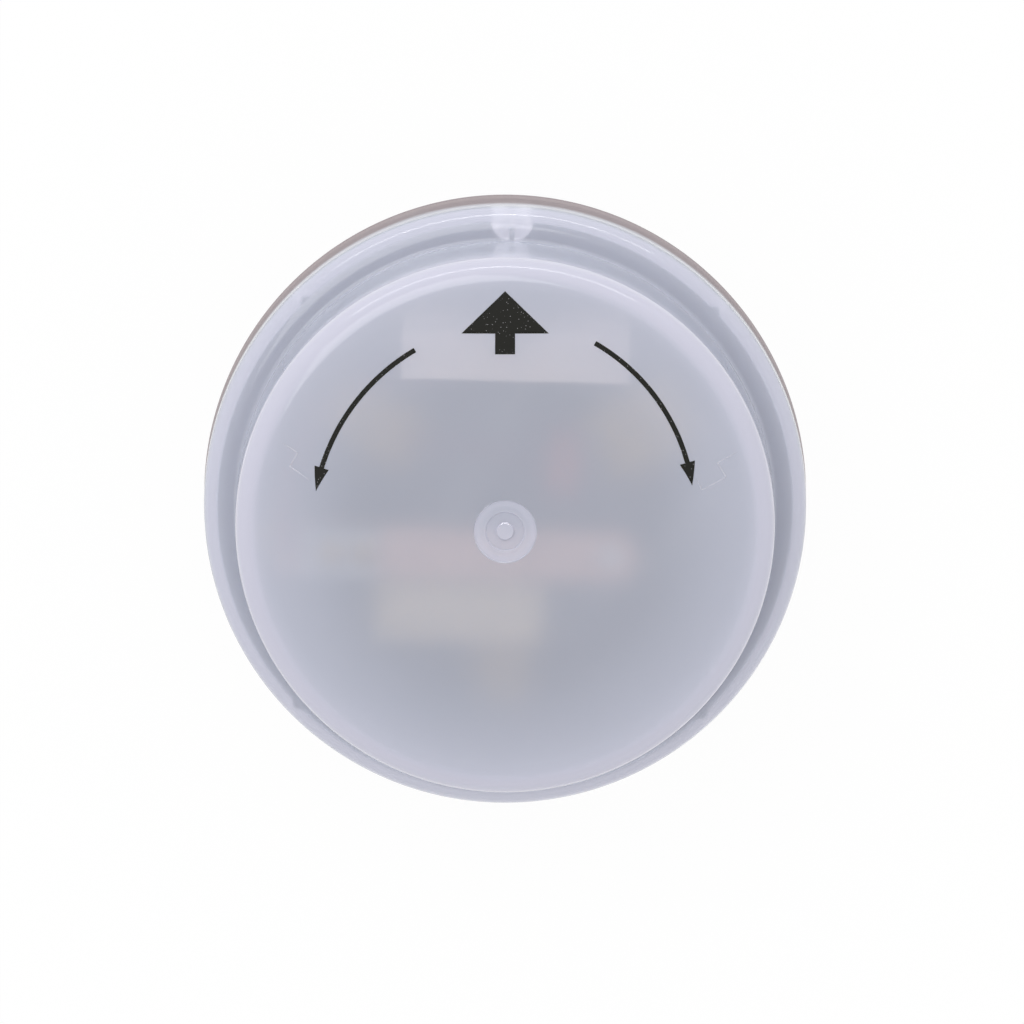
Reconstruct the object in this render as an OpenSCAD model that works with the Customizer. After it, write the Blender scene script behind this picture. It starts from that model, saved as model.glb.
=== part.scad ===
// Plug-in light control for outdoor lamps, millimetres, +Z up, +Y towards the side that faces north.
// The origin is the centre of the face of the gasket that lies on the lamp's socket.
// A translucent cover snaps over a round base with three twist-lock blades. Inside, daylight on the
// photocell lets current into a heater, and the warm bimetal strip lifts its contact.
$fn = 96;

/* [Cover] */
// Outside diameter at the top corner of the skirt
cover_d = 74; // [72:0.5:80]
// How far the skirt's lower edge stands out beyond its top corner
skirt_flare = 0.6; // [0.2:0.1:1]
// Height of the skirt from its lower edge to the corner round
skirt_h = 10.6; // [9:0.2:14]
// Radius of the skirt's top corner
skirt_round = 3; // [2.4:0.1:3.6]
// Distance from the outside of the skirt to the foot of the cap
ledge_w = 4.2; // [3.8:0.1:4.8]
// Height of the cap's wall from the ledge to the edge round
cap_h = 15.2; // [14:0.2:20]
// How far the cap's wall leans in over its height
cap_lean = 0.65; // [0.3:0.05:1]
// Radius of the cap's top edge
cap_round = 3; // [2.4:0.1:4]
// Rise of the domed top face
crown_h = 1.4; // [0.8:0.1:2]
// Radius of the fillet where the cap stands on the ledge
foot_fillet = 0.5; // [0.3:0.1:1]
// Thickness of the cover
cover_wall = 1.85; // [1.5:0.05:2.2]
// Radius inside the cap's top edge
cap_inner_round = 0.9; // [0.4:0.1:1.4]
// Radius inside the skirt's top corner
skirt_inner_round = 0.3; // [0.2:0.1:1]
// Height of the skirt's lower edge above the socket
skirt_lift = 1.4; // [0.8:0.1:2]

/* [Cover keys] */
// Width of the half-round key inside the skirt, on the north side
key_w = 5.2; // [4:0.1:6]
// Width of the relief slot in the key
key_slot_w = 0.7; // [0.5:0.1:1]
// Depth of the relief slot
key_slot_d = 1.7; // [1:0.1:2]
// Width of each V notch inside the skirt
notch_w = 1.8; // [1.2:0.1:2.4]
// Depth of each V notch
notch_d = 0.6; // [0.4:0.1:0.8]
// Height of the base's lugs in the notches
lug_h = 3; // [2:0.5:5]
// Width of the seat under the skirt's wall that stops the base
shoulder_w = 0.5; // [0.4:0.05:0.8]
// How far the snap bead reaches in under the base
bead_w = 0.5; // [0.4:0.05:0.6]

/* [Gate mark] */
// Diameter of the shallow disc at the middle of the face
gate_d = 7.4; // [6:0.1:9]
// Depth of the disc, and again of the ring inside it
gate_depth = 0.2; // [0.1:0.05:0.35]
// Diameter of the inner ring
gate_ring_d = 4.6; // [3.6:0.1:5.4]
// Diameter of the nub
gate_nub_d = 2; // [1.4:0.1:2.6]

/* [Base and gasket] */
// Thickness of the base plate
base_t = 3.2; // [2.8:0.1:4]
// Gap around the base plate
base_gap = 0.2; // [0.1:0.05:0.3]
// Diameter of the raised hub that the blades come out of
hub_d = 32.4; // [31:0.2:33]
// Height of the hub
hub_h = 1.8; // [1:0.1:2]
// Thickness of the gasket
gasket_t = 3; // [2.6:0.1:4]
// Gap between the gasket and the cover's snap bead
gasket_gap = 2.5; // [1.5:0.1:4]
// Diameter of the hole in the gasket
gasket_hole_d = 46; // [45:0.5:50]

/* [Blades] */
// Diameter of the circle that the blades stand on
blade_circle_d = 27; // [26:0.2:27.4]
// Thickness of the blades
blade_t = 1.5; // [1.2:0.1:1.8]
// Length of the blades below the socket's face
blade_l = 16.5; // [14:0.5:19]
// Width of the line and load blades
blade_w = 6.4; // [5.6:0.1:7]
// Width of the neutral blade
neutral_w = 9; // [8:0.1:10]
// How far each foot hooks to the side
hook_w = 3.2; // [2.4:0.1:3.6]
// Height of the feet
foot_h = 4.6; // [3.6:0.1:6]
// Radius of the feet's corners
foot_round = 1.2; // [0.6:0.1:1.6]
// Bevel around the blades' ends
tip_bevel = 0.4; // [0.2:0.05:0.5]
// Distance of the rivets from the middle of the base
rivet_circle_r = 19.5; // [19:0.1:20]
// Diameter of the rivets' shanks
rivet_d = 3; // [2.4:0.1:3.4]
// Diameter of the rivets' heads
rivet_head_d = 4.8; // [4.4:0.1:5]
// Height of the rivets' heads
rivet_head_h = 1; // [0.8:0.1:1.2]
// How far the blades' solder tags reach from the middle of the base
tag_r = 25; // [24:0.2:26]
// Gap around blades, rivets and pins
fit_gap = 0.12; // [0.08:0.02:0.16]

/* [Switch] */
// Distance of the strips' middle line from the base's middle, to the south
strip_y = 5; // [4.5:0.1:6]
// Width of the strips
strip_w = 6; // [5:0.1:6.6]
// Thickness of the strips
strip_t = 0.6; // [0.4:0.05:0.8]
// Free length of the strips
strip_l = 31.4; // [29:0.2:35]
// Length of the strips' tails behind the stack
tail_l = 3.2; // [2.6:0.1:3.6]
// Gap between the tails and the cap's wall
tail_gap = 1.4; // [0.8:0.1:2]
// Distance from the strips' ends to the contacts
contact_inset = 3.4; // [3:0.1:4]
// Diameter of the moving contact
moving_d = 4; // [3.4:0.1:4.6]
// Diameter of the fixed contact
fixed_d = 4.4; // [3.8:0.1:5]
// Thickness of each contact
contact_t = 1.2; // [0.8:0.1:1.6]
// Diameter of the contacts' shanks
contact_pin_d = 1.8; // [1.4:0.1:2]
// Height of the post's shelf above the base
post_h = 7.8; // [7:0.2:10]
// Thickness of the post's sheet
post_t = 1.2; // [1:0.1:1.4]
// Radius inside the post's folds
post_bend = 0.6; // [0.4:0.1:1]
// Width of the post
post_w = 6.4; // [6:0.1:7]
// Length of the post's foot
post_foot_l = 8.4; // [8:0.1:9]
// Thickness of the lower insulator
lower_insulator_t = 1; // [0.8:0.1:1.6]
// Thickness of the upper insulator
upper_insulator_t = 0.8; // [0.6:0.1:1.2]
// Diameter of the stack's rivets
stack_rivet_d = 2; // [1.6:0.1:2.2]
// Diameter of the heads of the stack's rivets
stack_head_d = 3.2; // [2.8:0.1:3.6]
// Distance between the stack's rivets
stack_pitch = 4; // [3.8:0.1:4.2]
// Diameter of the calibration screw
screw_d = 2.5; // [2:0.1:2.6]
// Distance of the calibration screw from the stack
screw_out = 4.5; // [4:0.1:6]

/* [Heater and surge arrester] */
// Length of the heater's ceramic body
heater_l = 20.4; // [18:0.2:22]
// Width of the heater's body
heater_w = 7.2; // [6:0.1:7.4]
// Height of the heater's body
heater_h = 7; // [6:0.1:8]
// Place of the heater's middle along the strips
heater_x = -5.3; // [-6:0.1:-4.6]
// Gap between the heater and the switch, seen from above
heater_gap = 0.6; // [0.4:0.1:1]
// Gap between the heater and the rivet below it
heater_lift = 1.3; // [1:0.1:2]
// Diameter of the surge arrester's disc
arrester_d = 9.2; // [8:0.1:10]
// Thickness of the surge arrester
arrester_t = 4; // [3.4:0.1:4.4]
// Radius of the surge arrester's edge
arrester_round = 1.4; // [0.8:0.1:1.6]
// Place of the surge arrester to the east
arrester_x = 7; // [6.4:0.1:7.2]
// Place of the surge arrester to the north
arrester_y = 6; // [5.6:0.1:6.2]
// Distance between the surge arrester's wires
arrester_pitch = 5; // [4.6:0.1:5.4]
// Gap between the surge arrester and the blades' tags
arrester_lift = 2; // [1.6:0.1:3]

/* [Photocell] */
// Width of the photocell's bracket
bracket_w = 27; // [25:0.5:29]
// Depth of the bracket's top and feet
bracket_depth = 6; // [5.6:0.1:6.4]
// Thickness of the bracket's walls
bracket_t = 2; // [1.6:0.1:2.4]
// Place of the bracket to the east
bracket_x = 0.75; // [-1:0.25:1]
// Gap between the bracket's front corners and the cap's wall
bracket_gap = 2.8; // [2:0.1:3.4]
// Gap between the bracket and the top of the cover
bracket_top_gap = 0.6; // [0.4:0.1:1]
// Width of each of the bracket's feet
bracket_foot_w = 5; // [4.6:0.1:6]
// Diameter of the photocell
cell_d = 12; // [10:0.2:13]
// Thickness of the photocell
cell_t = 2.4; // [2:0.1:3]
// Width of the rim that stops the photocell
cell_rim = 0.7; // [0.5:0.1:1]
// Thickness of that rim
cell_rim_t = 0.6; // [0.4:0.1:0.8]
// Height of the photocell's middle above the base
cell_h = 14; // [13:0.2:16]
// Distance between the photocell's wires
cell_pitch = 3.4; // [3:0.1:5]

/* [Wiring] */
// Diameter of the parts' own wires
lead_d = 0.8; // [0.6:0.05:1]
// Bend radius of the parts' own wires
lead_bend = 1.2; // [1:0.1:1.6]
// Straight length before each bend
lead_out = 0.8; // [0.5:0.1:1.2]
// Depth of the wires' holes in the base
lead_hole_depth = 2; // [1.4:0.1:2.2]
// Diameter of the insulated wires
wire_d = 1.4; // [1:0.1:1.6]

/* [Hidden] */

// A small overlap that joins or cuts cleanly
bite = 0.5;

// Heights of the base and the cover
base_z = gasket_t;
base_top = base_z + base_t;
corner_z = skirt_lift + skirt_h;
ledge_z = corner_z + skirt_round;
face_z = ledge_z + cap_h + cap_round;
top_z = face_z + crown_h;

// Radii of the cover
corner_r = cover_d / 2;
skirt_r = corner_r + skirt_flare;
foot_r = corner_r - ledge_w;
cap_r = foot_r - cap_lean;
cap_inside_r = cap_r - cover_wall;
skirt_inside_r = corner_r - cover_wall;

// The mouth of the cover is wider than its wall by a shoulder, and the base sits in it
mouth_r = skirt_r - skirt_flare * (base_top - skirt_lift) / skirt_h - cover_wall + shoulder_w;
base_r = mouth_r - base_gap;
bead_h = 0.75 * (base_z - skirt_lift);
gasket_r = mouth_r - bead_w - gasket_gap;
key_sink = 0.2;
key_y = skirt_inside_r + key_sink;
notch_angles = [45, 135, 225, 315];

// Blades
blade_in = (blade_circle_d - blade_t) / 2;
blade_out = (blade_circle_d + blade_t) / 2;
tag_top = base_top + blade_t;
line_az = 150;
load_az = 270;
neutral_az = 30;
blade_azimuths = [line_az, load_az, neutral_az];

// The stack of strips, from the post's shelf up
tail_y = strip_y + strip_w / 2;
tail_x = -sqrt(pow(cap_inside_r - tail_gap, 2) - pow(tail_y, 2));
stack_x = tail_x + tail_l;
stack_head_gap = 0.2;
stack_l = post_t + post_bend + stack_head_d + stack_pitch + 2 * stack_head_gap;
first_rivet_x = stack_x + post_t + post_bend + stack_head_gap + stack_head_d / 2;
stack_rivets_x = [first_rivet_x, first_rivet_x + stack_pitch];
clamp_x = stack_x + stack_l;
strip_end_x = clamp_x + strip_l;
contact_x = strip_end_x - contact_inset;
shelf_z = base_top + post_h;
compensator_z = shelf_z + lower_insulator_t;
contact_z = compensator_z + strip_t + contact_t;
bimetal_z = contact_z + contact_t;
clamp_z = bimetal_z + strip_t + upper_insulator_t;
clamp_t = post_t;
screw_x = clamp_x + screw_out;
shelf_end_x = screw_x + screw_d;
post_rivet_x = stack_x - post_bend - rivet_head_d / 2 - 0.6;
rivet_sink = 0.3;
post_solder_x = stack_x - post_foot_l + wire_d;
tail_top = bimetal_z + strip_t - base_top;
stack_head_h = 0.8;
insulating_gap = 0.7;
pin_head_h = 0.5;
pin_head_d = contact_pin_d + 1;
screw_head_d = screw_d + 2;
screw_head_h = 1.4;
screw_stand_off = 1;
screw_slot_w = 0.6;

// Heater
heater_y = -strip_y - max(strip_w, post_w) / 2 - heater_gap - heater_w / 2;
heater_z = tag_top + rivet_head_h + heater_lift;
heater_mid_z = heater_z + heater_h / 2;
heater_rim = 0.8;
heater_fill_depth = 0.5;
heater_leads_x = [heater_x - heater_l / 2, heater_x + heater_l / 2];
lead_r = lead_d / 2;
lead_reach = lead_out + lead_bend;
lead_foot_z = base_top - lead_hole_depth;

// Surge arrester: a coated disc on edge, with a flat skirt of coating round its wires
arrester_pad_z = tag_top + arrester_lift;
arrester_pad_sag = 0.3;
arrester_mid_z = arrester_pad_z + arrester_pad_sag + arrester_d / 2;
arrester_south_y = arrester_y - arrester_pitch / 2;
arrester_north_y = arrester_y + arrester_pitch / 2;
solder_gap = 0.05;
arrester_lead_z = tag_top + lead_r + solder_gap;
arrester_lead_l = 6;

// Photocell and its bracket
bracket_front_y = sqrt(pow(cap_inside_r - bracket_gap, 2) - pow(bracket_w / 2 + abs(bracket_x), 2));
bracket_back_y = bracket_front_y - bracket_depth;
bracket_top_z = face_z - cover_wall - bracket_top_gap;
cell_front_y = bracket_front_y - cell_rim_t;
cell_back_y = cell_front_y - cell_t;
cell_z = base_top + cell_h;
cell_lead_y = cell_back_y - lead_reach;
peg_d = 2.8;
peg_floor = 0.4;
peg_l = base_t - peg_floor;
peg_x = bracket_w / 2 - bracket_foot_w / 2;
peg_y = bracket_front_y - bracket_depth / 2;

// Where the parts' own wires go down into the base
lead_places = [
    [heater_leads_x[0] - lead_reach, heater_y], [heater_leads_x[1] + lead_reach, heater_y],
    [bracket_x - cell_pitch / 2, cell_lead_y], [bracket_x + cell_pitch / 2, cell_lead_y],
    [arrester_x, arrester_south_y]
];

// Middle line of a wire that lies on the base, and of one that lies on a blade's tag
wire_gap = 0.1;
on_base = wire_d / 2 + wire_gap;
on_tag = blade_t + on_base;

// A wire's point a distance in from the edge of the base, in a direction and at a height above it
function round_base(inset, azimuth, height) = [
    (base_r - inset) * cos(azimuth), (base_r - inset) * sin(azimuth), height
];

// Routes of the insulated wires, with heights above the base plate
line_route = [
    [tail_x + 1.6, -strip_y, tail_top + on_base], [tail_x + 1, 0, tail_top + 1.2],
    [tail_x + 1.8, 5, 9.5], [tail_x + 3.4, 9, 5], [-22.6, 11.6, 2.9], [-21, 12.2, on_tag]
];
load_route = [
    [post_solder_x, -strip_y + 1, post_t + on_base], [post_solder_x, -10, post_t + on_base + 0.2],
    round_base(3.6, 210, on_base), round_base(4.7, 225, on_base), round_base(6.2, 242, on_base + 0.4),
    [-7, -25.6, on_tag], [-1, -24, on_tag]
];
cell_route = [
    [bracket_x - cell_pitch / 2 - 1, cell_lead_y, on_base], [-5, bracket_back_y - 0.9, on_base],
    [-10, bracket_back_y - 2.1, on_base], [-15.4, 15.2, on_tag], [-19.4, 13, on_tag]
];
heater_route = [
    [bracket_x + cell_pitch / 2, cell_lead_y - 1, on_base], [1, cell_lead_y - 5.5, on_base],
    [-2, 6, on_base], [-7, -2, on_base], [-12, -8.4, on_base], [-16.8, -11.8, on_base]
];
neutral_route = [
    [8, -11.8, on_base], [13, -10, on_base], [20, -5, on_base], [25, 2, on_base],
    [25.4, 8, on_base + 0.9], [22.6, 11.8, on_tag]
];
surge_route = [
    [6, 3.4, on_base], [2.4, 4.4, on_base + 1], [-1.6, 6.4, on_base + 1.9], [-6, 7, on_base + 1.6],
    [-10, 7, on_tag + 0.3], [-13.4, 7.8, on_tag]
];

// A rectangle with round corners, from a corner at the origin
module rounded_rectangle(size, r) {
    translate([r, 0]) square([size.x - 2 * r, size.y]);
    translate([0, r]) square([size.x, size.y - 2 * r]);
    for (x = [r, size.x - r], y = [r, size.y - r]) translate([x, y]) circle(r);
}

// Half section of the stepped cover, set in by a distance, with its two corner radii.
// The crown's arc runs smoothly into the arc of the cap's edge, on the line through both centres.
module cover_section(inset, skirt_rad, cap_rad) {
    wall_r = corner_r - inset;
    round_z = ledge_z - inset - skirt_rad;
    edge_r = cap_r - inset - cap_rad;
    edge_z = face_z - inset - cap_rad;
    rise = crown_h + cap_rad;
    crown_r = (edge_r * edge_r + rise * rise - cap_rad * cap_rad) / (2 * crown_h);
    crown_z = edge_z + rise - crown_r;
    reach = (crown_r + bite) / (crown_r - cap_rad);
    beyond = [edge_r * reach, crown_z + (edge_z - crown_z) * reach];
    polygon([
        [0, skirt_lift], [skirt_r - inset, skirt_lift], [wall_r, round_z],
        [wall_r - skirt_rad, round_z], [wall_r - skirt_rad, ledge_z - inset],
        [foot_r - inset, ledge_z - inset], [cap_r - inset, edge_z], [0, edge_z]
    ]);
    translate([wall_r - skirt_rad, round_z]) circle(skirt_rad);
    intersection() {
        translate([edge_r, edge_z]) circle(cap_rad);
        polygon([
            [edge_r, edge_z], [cap_r - inset + bite, edge_z],
            [cap_r - inset + bite, beyond.y], beyond
        ]);
    }
    intersection() {
        translate([0, crown_z]) circle(crown_r);
        polygon([[0, edge_z], [edge_r, edge_z], beyond, [0, edge_z + rise + bite]]);
    }
}

// Half section of the fillet between the ledge and the leaning wall of the cap
module foot_section() {
    lean = atan(cap_lean / cap_h);
    out = foot_fillet * (1 - sin(lean)) / cos(lean);
    centre = [foot_r + out, ledge_z + foot_fillet];
    difference() {
        polygon([
            [foot_r - bite, ledge_z - bite], [centre.x, ledge_z - bite], [centre.x, ledge_z], centre,
            centre - foot_fillet * [cos(lean), sin(lean)],
            centre - (foot_fillet + bite) * [cos(lean), sin(lean)]
        ]);
        translate(centre) circle(foot_fillet);
    }
}

// Half-round outline of the north key, grown by a gap
module key_outline(gap) {
    translate([0, key_y]) circle(key_w / 2 + gap);
}

// V outline that points outwards at the notch radius, shrunk by a gap
module notch_outline(gap) {
    tip = skirt_inside_r + notch_d - gap;
    half = notch_w / 2 - gap;
    base = skirt_inside_r - notch_d;
    side = skirt_inside_r - gap;
    polygon([[base, -half], [side, -half], [tip, 0], [side, half], [base, half]]);
}

// The ring under the base's edge that holds the snapped-in base
module snap_bead() {
    rotate_extrude() polygon([
        [mouth_r + bite, base_z - bead_h], [mouth_r, base_z - bead_h],
        [mouth_r - bead_w, base_z - bead_h / 3], [mouth_r - bead_w, base_z], [mouth_r + bite, base_z]
    ]);
}

module cover() color("#dfe0ee") {
    gate_z = top_z - gate_depth;
    difference() {
        union() {
            difference() {
                rotate_extrude() difference() {
                    union() {
                        cover_section(0, skirt_round, cap_round);
                        foot_section();
                    }
                    cover_section(cover_wall, skirt_inner_round, cap_inner_round);
                }
                translate([0, 0, skirt_lift - bite])
                    cylinder(h = base_top - skirt_lift + bite, r = mouth_r);
                for (a = notch_angles) rotate(a) translate([0, 0, base_top - bite])
                    linear_extrude(ledge_z - cover_wall - base_top + bite) notch_outline(0);
            }
            snap_bead();
            intersection() {
                translate([0, 0, base_z + fit_gap])
                    linear_extrude(ledge_z - cover_wall / 2 - base_z - fit_gap) key_outline(0);
                cylinder(h = ledge_z, r = skirt_inside_r + cover_wall / 2);
            }
        }
        translate([-key_slot_w / 2, key_y - key_w / 2 - bite, base_z - bite])
            cube([key_slot_w, key_slot_d + bite, ledge_z - cover_wall - base_z + bite]);
        translate([0, 0, gate_z]) cylinder(h = bite, d = gate_d);
        translate([0, 0, gate_z - gate_depth]) difference() {
            cylinder(h = bite, d = gate_ring_d);
            cylinder(h = bite, d = gate_nub_d);
        }
    }
    translate([0, 0, gate_z - gate_depth]) cylinder(h = 2 * gate_depth, d = gate_nub_d);
}

// Upright prism of a blade's outline, along the radius at an azimuth
module radial_prism(azimuth) {
    rotate(azimuth) rotate([90, 0, 90]) linear_extrude(blade_circle_d) children();
}

module blade_slot(azimuth, width) {
    intersection() {
        translate([0, 0, base_z - hub_h - bite]) difference() {
            cylinder(h = base_t + hub_h + 2 * bite, r = blade_out + fit_gap);
            translate([0, 0, -bite]) cylinder(h = base_t + hub_h + 4 * bite, r = blade_in - fit_gap);
        }
        radial_prism(azimuth) translate([-width / 2 - fit_gap, -blade_l])
            square([width + 2 * fit_gap, blade_l + tag_top]);
    }
}

module base_plate() color("#3a2f2a") {
    difference() {
        union() {
            translate([0, 0, base_z]) cylinder(h = base_t, r = base_r);
            translate([0, 0, base_z - hub_h]) cylinder(h = hub_h + bite, d = hub_d);
            for (a = notch_angles) rotate(a) translate([0, 0, base_top - bite])
                linear_extrude(lug_h + bite) notch_outline(2 * fit_gap);
        }
        translate([0, 0, base_z - bite]) linear_extrude(base_t + 2 * bite) key_outline(fit_gap);
        blade_slot(line_az, blade_w);
        blade_slot(load_az, blade_w);
        blade_slot(neutral_az, neutral_w);
        for (a = blade_azimuths) rotate(a) translate([rivet_circle_r, 0, base_z - bite])
            cylinder(h = base_t + 2 * bite, d = rivet_d + 2 * fit_gap);
        translate([post_rivet_x, -strip_y, base_z - bite]) {
            cylinder(h = base_t + 2 * bite, d = rivet_d + 2 * fit_gap);
            cylinder(h = rivet_head_h + rivet_sink + bite, d = rivet_head_d + 2 * fit_gap);
        }
        for (s = [-1, 1]) translate([bracket_x + s * peg_x, peg_y, base_top - peg_l - fit_gap])
            cylinder(h = base_t, d = peg_d + 2 * fit_gap);
        for (p = lead_places) translate([p.x, p.y, lead_foot_z])
            cylinder(h = base_t, d = lead_d + 2 * fit_gap);
    }
}

module gasket() color("#3c3d40") {
    difference() {
        cylinder(h = gasket_t, r = gasket_r);
        translate([0, 0, -bite]) cylinder(h = gasket_t + 2 * bite, d = gasket_hole_d);
    }
}

// Front outline of a blade: a stem, and a foot that hooks to the clockwise side seen from above
module blade_outline(width) {
    translate([-width / 2, -blade_l + foot_h / 2]) square([width, blade_l - foot_h / 2 + tag_top]);
    translate([-width / 2 - hook_w, -blade_l]) rounded_rectangle([width + hook_w, foot_h], foot_round);
}

// Section of a blade: bevelled at its end, and folded outwards at the top of the base
module blade_section() {
    polygon([
        [blade_in, base_top], [blade_in, 2 * tip_bevel - blade_l], [blade_in + tip_bevel, -blade_l],
        [blade_out - tip_bevel, -blade_l], [blade_out, 2 * tip_bevel - blade_l], [blade_out, base_top]
    ]);
    intersection() {
        translate([blade_out, base_top]) circle(blade_t);
        translate([blade_in, base_top]) square(blade_t);
    }
    translate([blade_out, base_top]) square([bite, blade_t]);
}

// A blade bent to the circle, with its tag folded out on the base and drilled for a rivet
module blade(azimuth, width) {
    intersection() {
        rotate_extrude() blade_section();
        radial_prism(azimuth) blade_outline(width);
    }
    rotate(azimuth) translate([0, 0, base_top]) difference() {
        linear_extrude(blade_t) translate([0, -width / 2]) rounded_rectangle([tag_r, width], foot_round);
        translate([0, 0, -bite]) cylinder(h = blade_t + 2 * bite, r = blade_out);
        translate([rivet_circle_r, 0, -bite]) cylinder(h = blade_t + 2 * bite, d = rivet_d + 2 * fit_gap);
    }
}

module line_blade() color("#c9a45a") blade(line_az, blade_w);

module load_blade() color("#c9a45a") blade(load_az, blade_w);

module neutral_blade() color("#c9a45a") blade(neutral_az, neutral_w);

// A domed head that stands on the plane at zero
module rivet_head(head_d, head_h) {
    dome_r = (head_d * head_d / 4 + head_h * head_h) / (2 * head_h);
    intersection() {
        translate([0, 0, head_h - dome_r]) sphere(dome_r);
        cylinder(h = head_h + bite, r = dome_r);
    }
}

// A rivet from one height to another, with a domed head at each end outside that grip
module rivet(from_z, to_z, shank_d, head_d, head_h) {
    translate([0, 0, from_z]) cylinder(h = to_z - from_z, d = shank_d);
    translate([0, 0, from_z]) mirror([0, 0, 1]) rivet_head(head_d, head_h);
    translate([0, 0, to_z]) rivet_head(head_d, head_h);
}

module blade_rivets() color("#b8944c") for (a = blade_azimuths) rotate(a)
    translate([rivet_circle_r, 0, 0]) rivet(base_z, tag_top, rivet_d, rivet_head_d, rivet_head_h);

// A quarter ring of sheet, the fold of the post, in the quadrant below and to the right of its centre
module post_fold() {
    intersection() {
        difference() {
            circle(post_bend + post_t);
            circle(post_bend);
        }
        translate([0, -post_bend - post_t]) square(post_bend + post_t);
    }
}

// The post is one folded sheet: a foot on the base, an upright and a shelf for the stack
module strip_post() color("#b9b7b0") translate([0, -strip_y - post_w / 2, 0]) difference() {
    fold = post_t + post_bend;
    rotate([90, 0, 0]) mirror([0, 0, 1]) linear_extrude(post_w) {
        translate([stack_x - post_foot_l, base_top]) square([post_foot_l - post_bend, post_t]);
        translate([stack_x - post_bend, base_top + fold]) post_fold();
        translate([stack_x, base_top + fold]) square([post_t, post_h - 2 * fold]);
        translate([stack_x + fold, shelf_z - fold]) rotate(180) post_fold();
        translate([stack_x + fold, shelf_z - post_t]) square([shelf_end_x - stack_x - fold, post_t]);
    }
    translate([post_rivet_x, post_w / 2, base_top - bite])
        cylinder(h = post_t + 2 * bite, d = rivet_d + 2 * fit_gap);
    translate([0, post_w / 2, shelf_z - post_t - bite]) {
        stack_holes(post_t + 2 * bite, fit_gap);
        translate([screw_x, 0, 0]) cylinder(h = post_t + 2 * bite, d = screw_d + 2 * fit_gap);
    }
}

module post_rivet() color("#b8944c") translate([post_rivet_x, -strip_y, 0]) {
    rivet(base_z + rivet_head_h + rivet_sink, base_top + post_t, rivet_d, rivet_head_d, rivet_head_h);
}

// The two rivet holes of the stack, on its middle line
module stack_holes(height, gap) {
    for (x = stack_rivets_x) translate([x, 0, 0]) cylinder(h = height, d = stack_rivet_d + 2 * gap);
}

// A plate of the stack, as wide as the strips, with rivet holes
module stack_plate(z, thickness) {
    translate([0, -strip_y, z]) difference() {
        translate([stack_x, -strip_w / 2, 0]) cube([stack_l, strip_w, thickness]);
        translate([0, 0, -bite]) stack_holes(thickness + 2 * bite, fit_gap);
    }
}

module stack_insulators() color("#c8a888") {
    stack_plate(shelf_z, lower_insulator_t);
    stack_plate(compensator_z + strip_t, 2 * contact_t);
    stack_plate(bimetal_z + strip_t, upper_insulator_t);
}

module clamp_plate() color("#b9b7b0") stack_plate(clamp_z, clamp_t);

module stack_rivets() color("#b8944c") for (x = stack_rivets_x) translate([x, -strip_y, 0])
    rivet(shelf_z - post_t, clamp_z + clamp_t, stack_rivet_d, stack_head_d, stack_head_h);

// A leaf with a round end, drilled for the stack's rivets and for its contact
module strip(z, start_x, rivet_gap) {
    translate([0, -strip_y, z]) difference() {
        linear_extrude(strip_t) {
            translate([start_x, -strip_w / 2]) square([strip_end_x - strip_w / 2 - start_x, strip_w]);
            translate([strip_end_x - strip_w / 2, 0]) circle(strip_w / 2);
        }
        translate([0, 0, -bite]) stack_holes(strip_t + 2 * bite, rivet_gap);
        translate([contact_x, 0, -bite]) cylinder(h = strip_t + 2 * bite, d = contact_pin_d + 2 * fit_gap);
    }
}

module compensating_strip() color("#b08a70") strip(compensator_z, stack_x, fit_gap);

module bimetal_strip() color("#c09a84") strip(bimetal_z, tail_x, insulating_gap);

// A contact button whose pin is headed over on the far side of its strip; dir is +1 for a button on top
module contact(z, dir, button_d) {
    translate([contact_x, -strip_y, z]) mirror([0, 0, dir > 0 ? 0 : 1]) {
        cylinder(h = contact_t, d = button_d);
        translate([0, 0, -strip_t - bite / 2]) cylinder(h = strip_t + bite, d = contact_pin_d);
        translate([0, 0, -strip_t - pin_head_h]) cylinder(h = pin_head_h, d = pin_head_d);
    }
}

module fixed_contact() color("#d8d8d8") contact(compensator_z + strip_t, 1, fixed_d);

module moving_contact() color("#d8d8d8") contact(bimetal_z, -1, moving_d);

// Slotted screw through the shelf, whose end bears on the compensating strip
module calibration_screw() color("#c9a45a") translate([screw_x, -strip_y, 0]) {
    head_top = shelf_z - post_t - screw_stand_off;
    translate([0, 0, head_top - bite]) cylinder(h = compensator_z - head_top + bite, d = screw_d);
    translate([0, 0, head_top - screw_head_h]) difference() {
        cylinder(h = screw_head_h, d = screw_head_d);
        translate([-screw_head_d, -screw_slot_w / 2, -bite])
            cube([2 * screw_head_d, screw_slot_w, bite + screw_head_h / 2]);
    }
}

// Ceramic body with a fill that stands a little in from its rim
module heater_resistor() color("#e8dcc4") translate([heater_x - heater_l / 2, heater_y, heater_z]) {
    difference() {
        translate([0, -heater_w / 2, 0]) cube([heater_l, heater_w, heater_h]);
        translate([heater_rim, heater_rim - heater_w / 2, heater_h - heater_fill_depth])
            cube([heater_l - 2 * heater_rim, heater_w - 2 * heater_rim, heater_fill_depth + bite]);
    }
}

// A wire that leaves along +X from a height, bends down and ends at a lower height
module down_lead(from_z, to_z) {
    translate([0, 0, from_z]) rotate([0, 90, 0]) cylinder(h = lead_out, r = lead_r);
    translate([lead_out, 0, from_z - lead_bend]) rotate([90, 0, 0])
        rotate_extrude(angle = 90) translate([lead_bend, 0]) circle(lead_r);
    translate([lead_reach, 0, to_z]) cylinder(h = from_z - lead_bend - to_z, r = lead_r);
}

module heater_leads() color("#cfcfcf") {
    translate([heater_leads_x[1], heater_y, 0]) down_lead(heater_mid_z, lead_foot_z);
    translate([heater_leads_x[0], heater_y, 0]) mirror([1, 0, 0]) down_lead(heater_mid_z, lead_foot_z);
}

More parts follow.
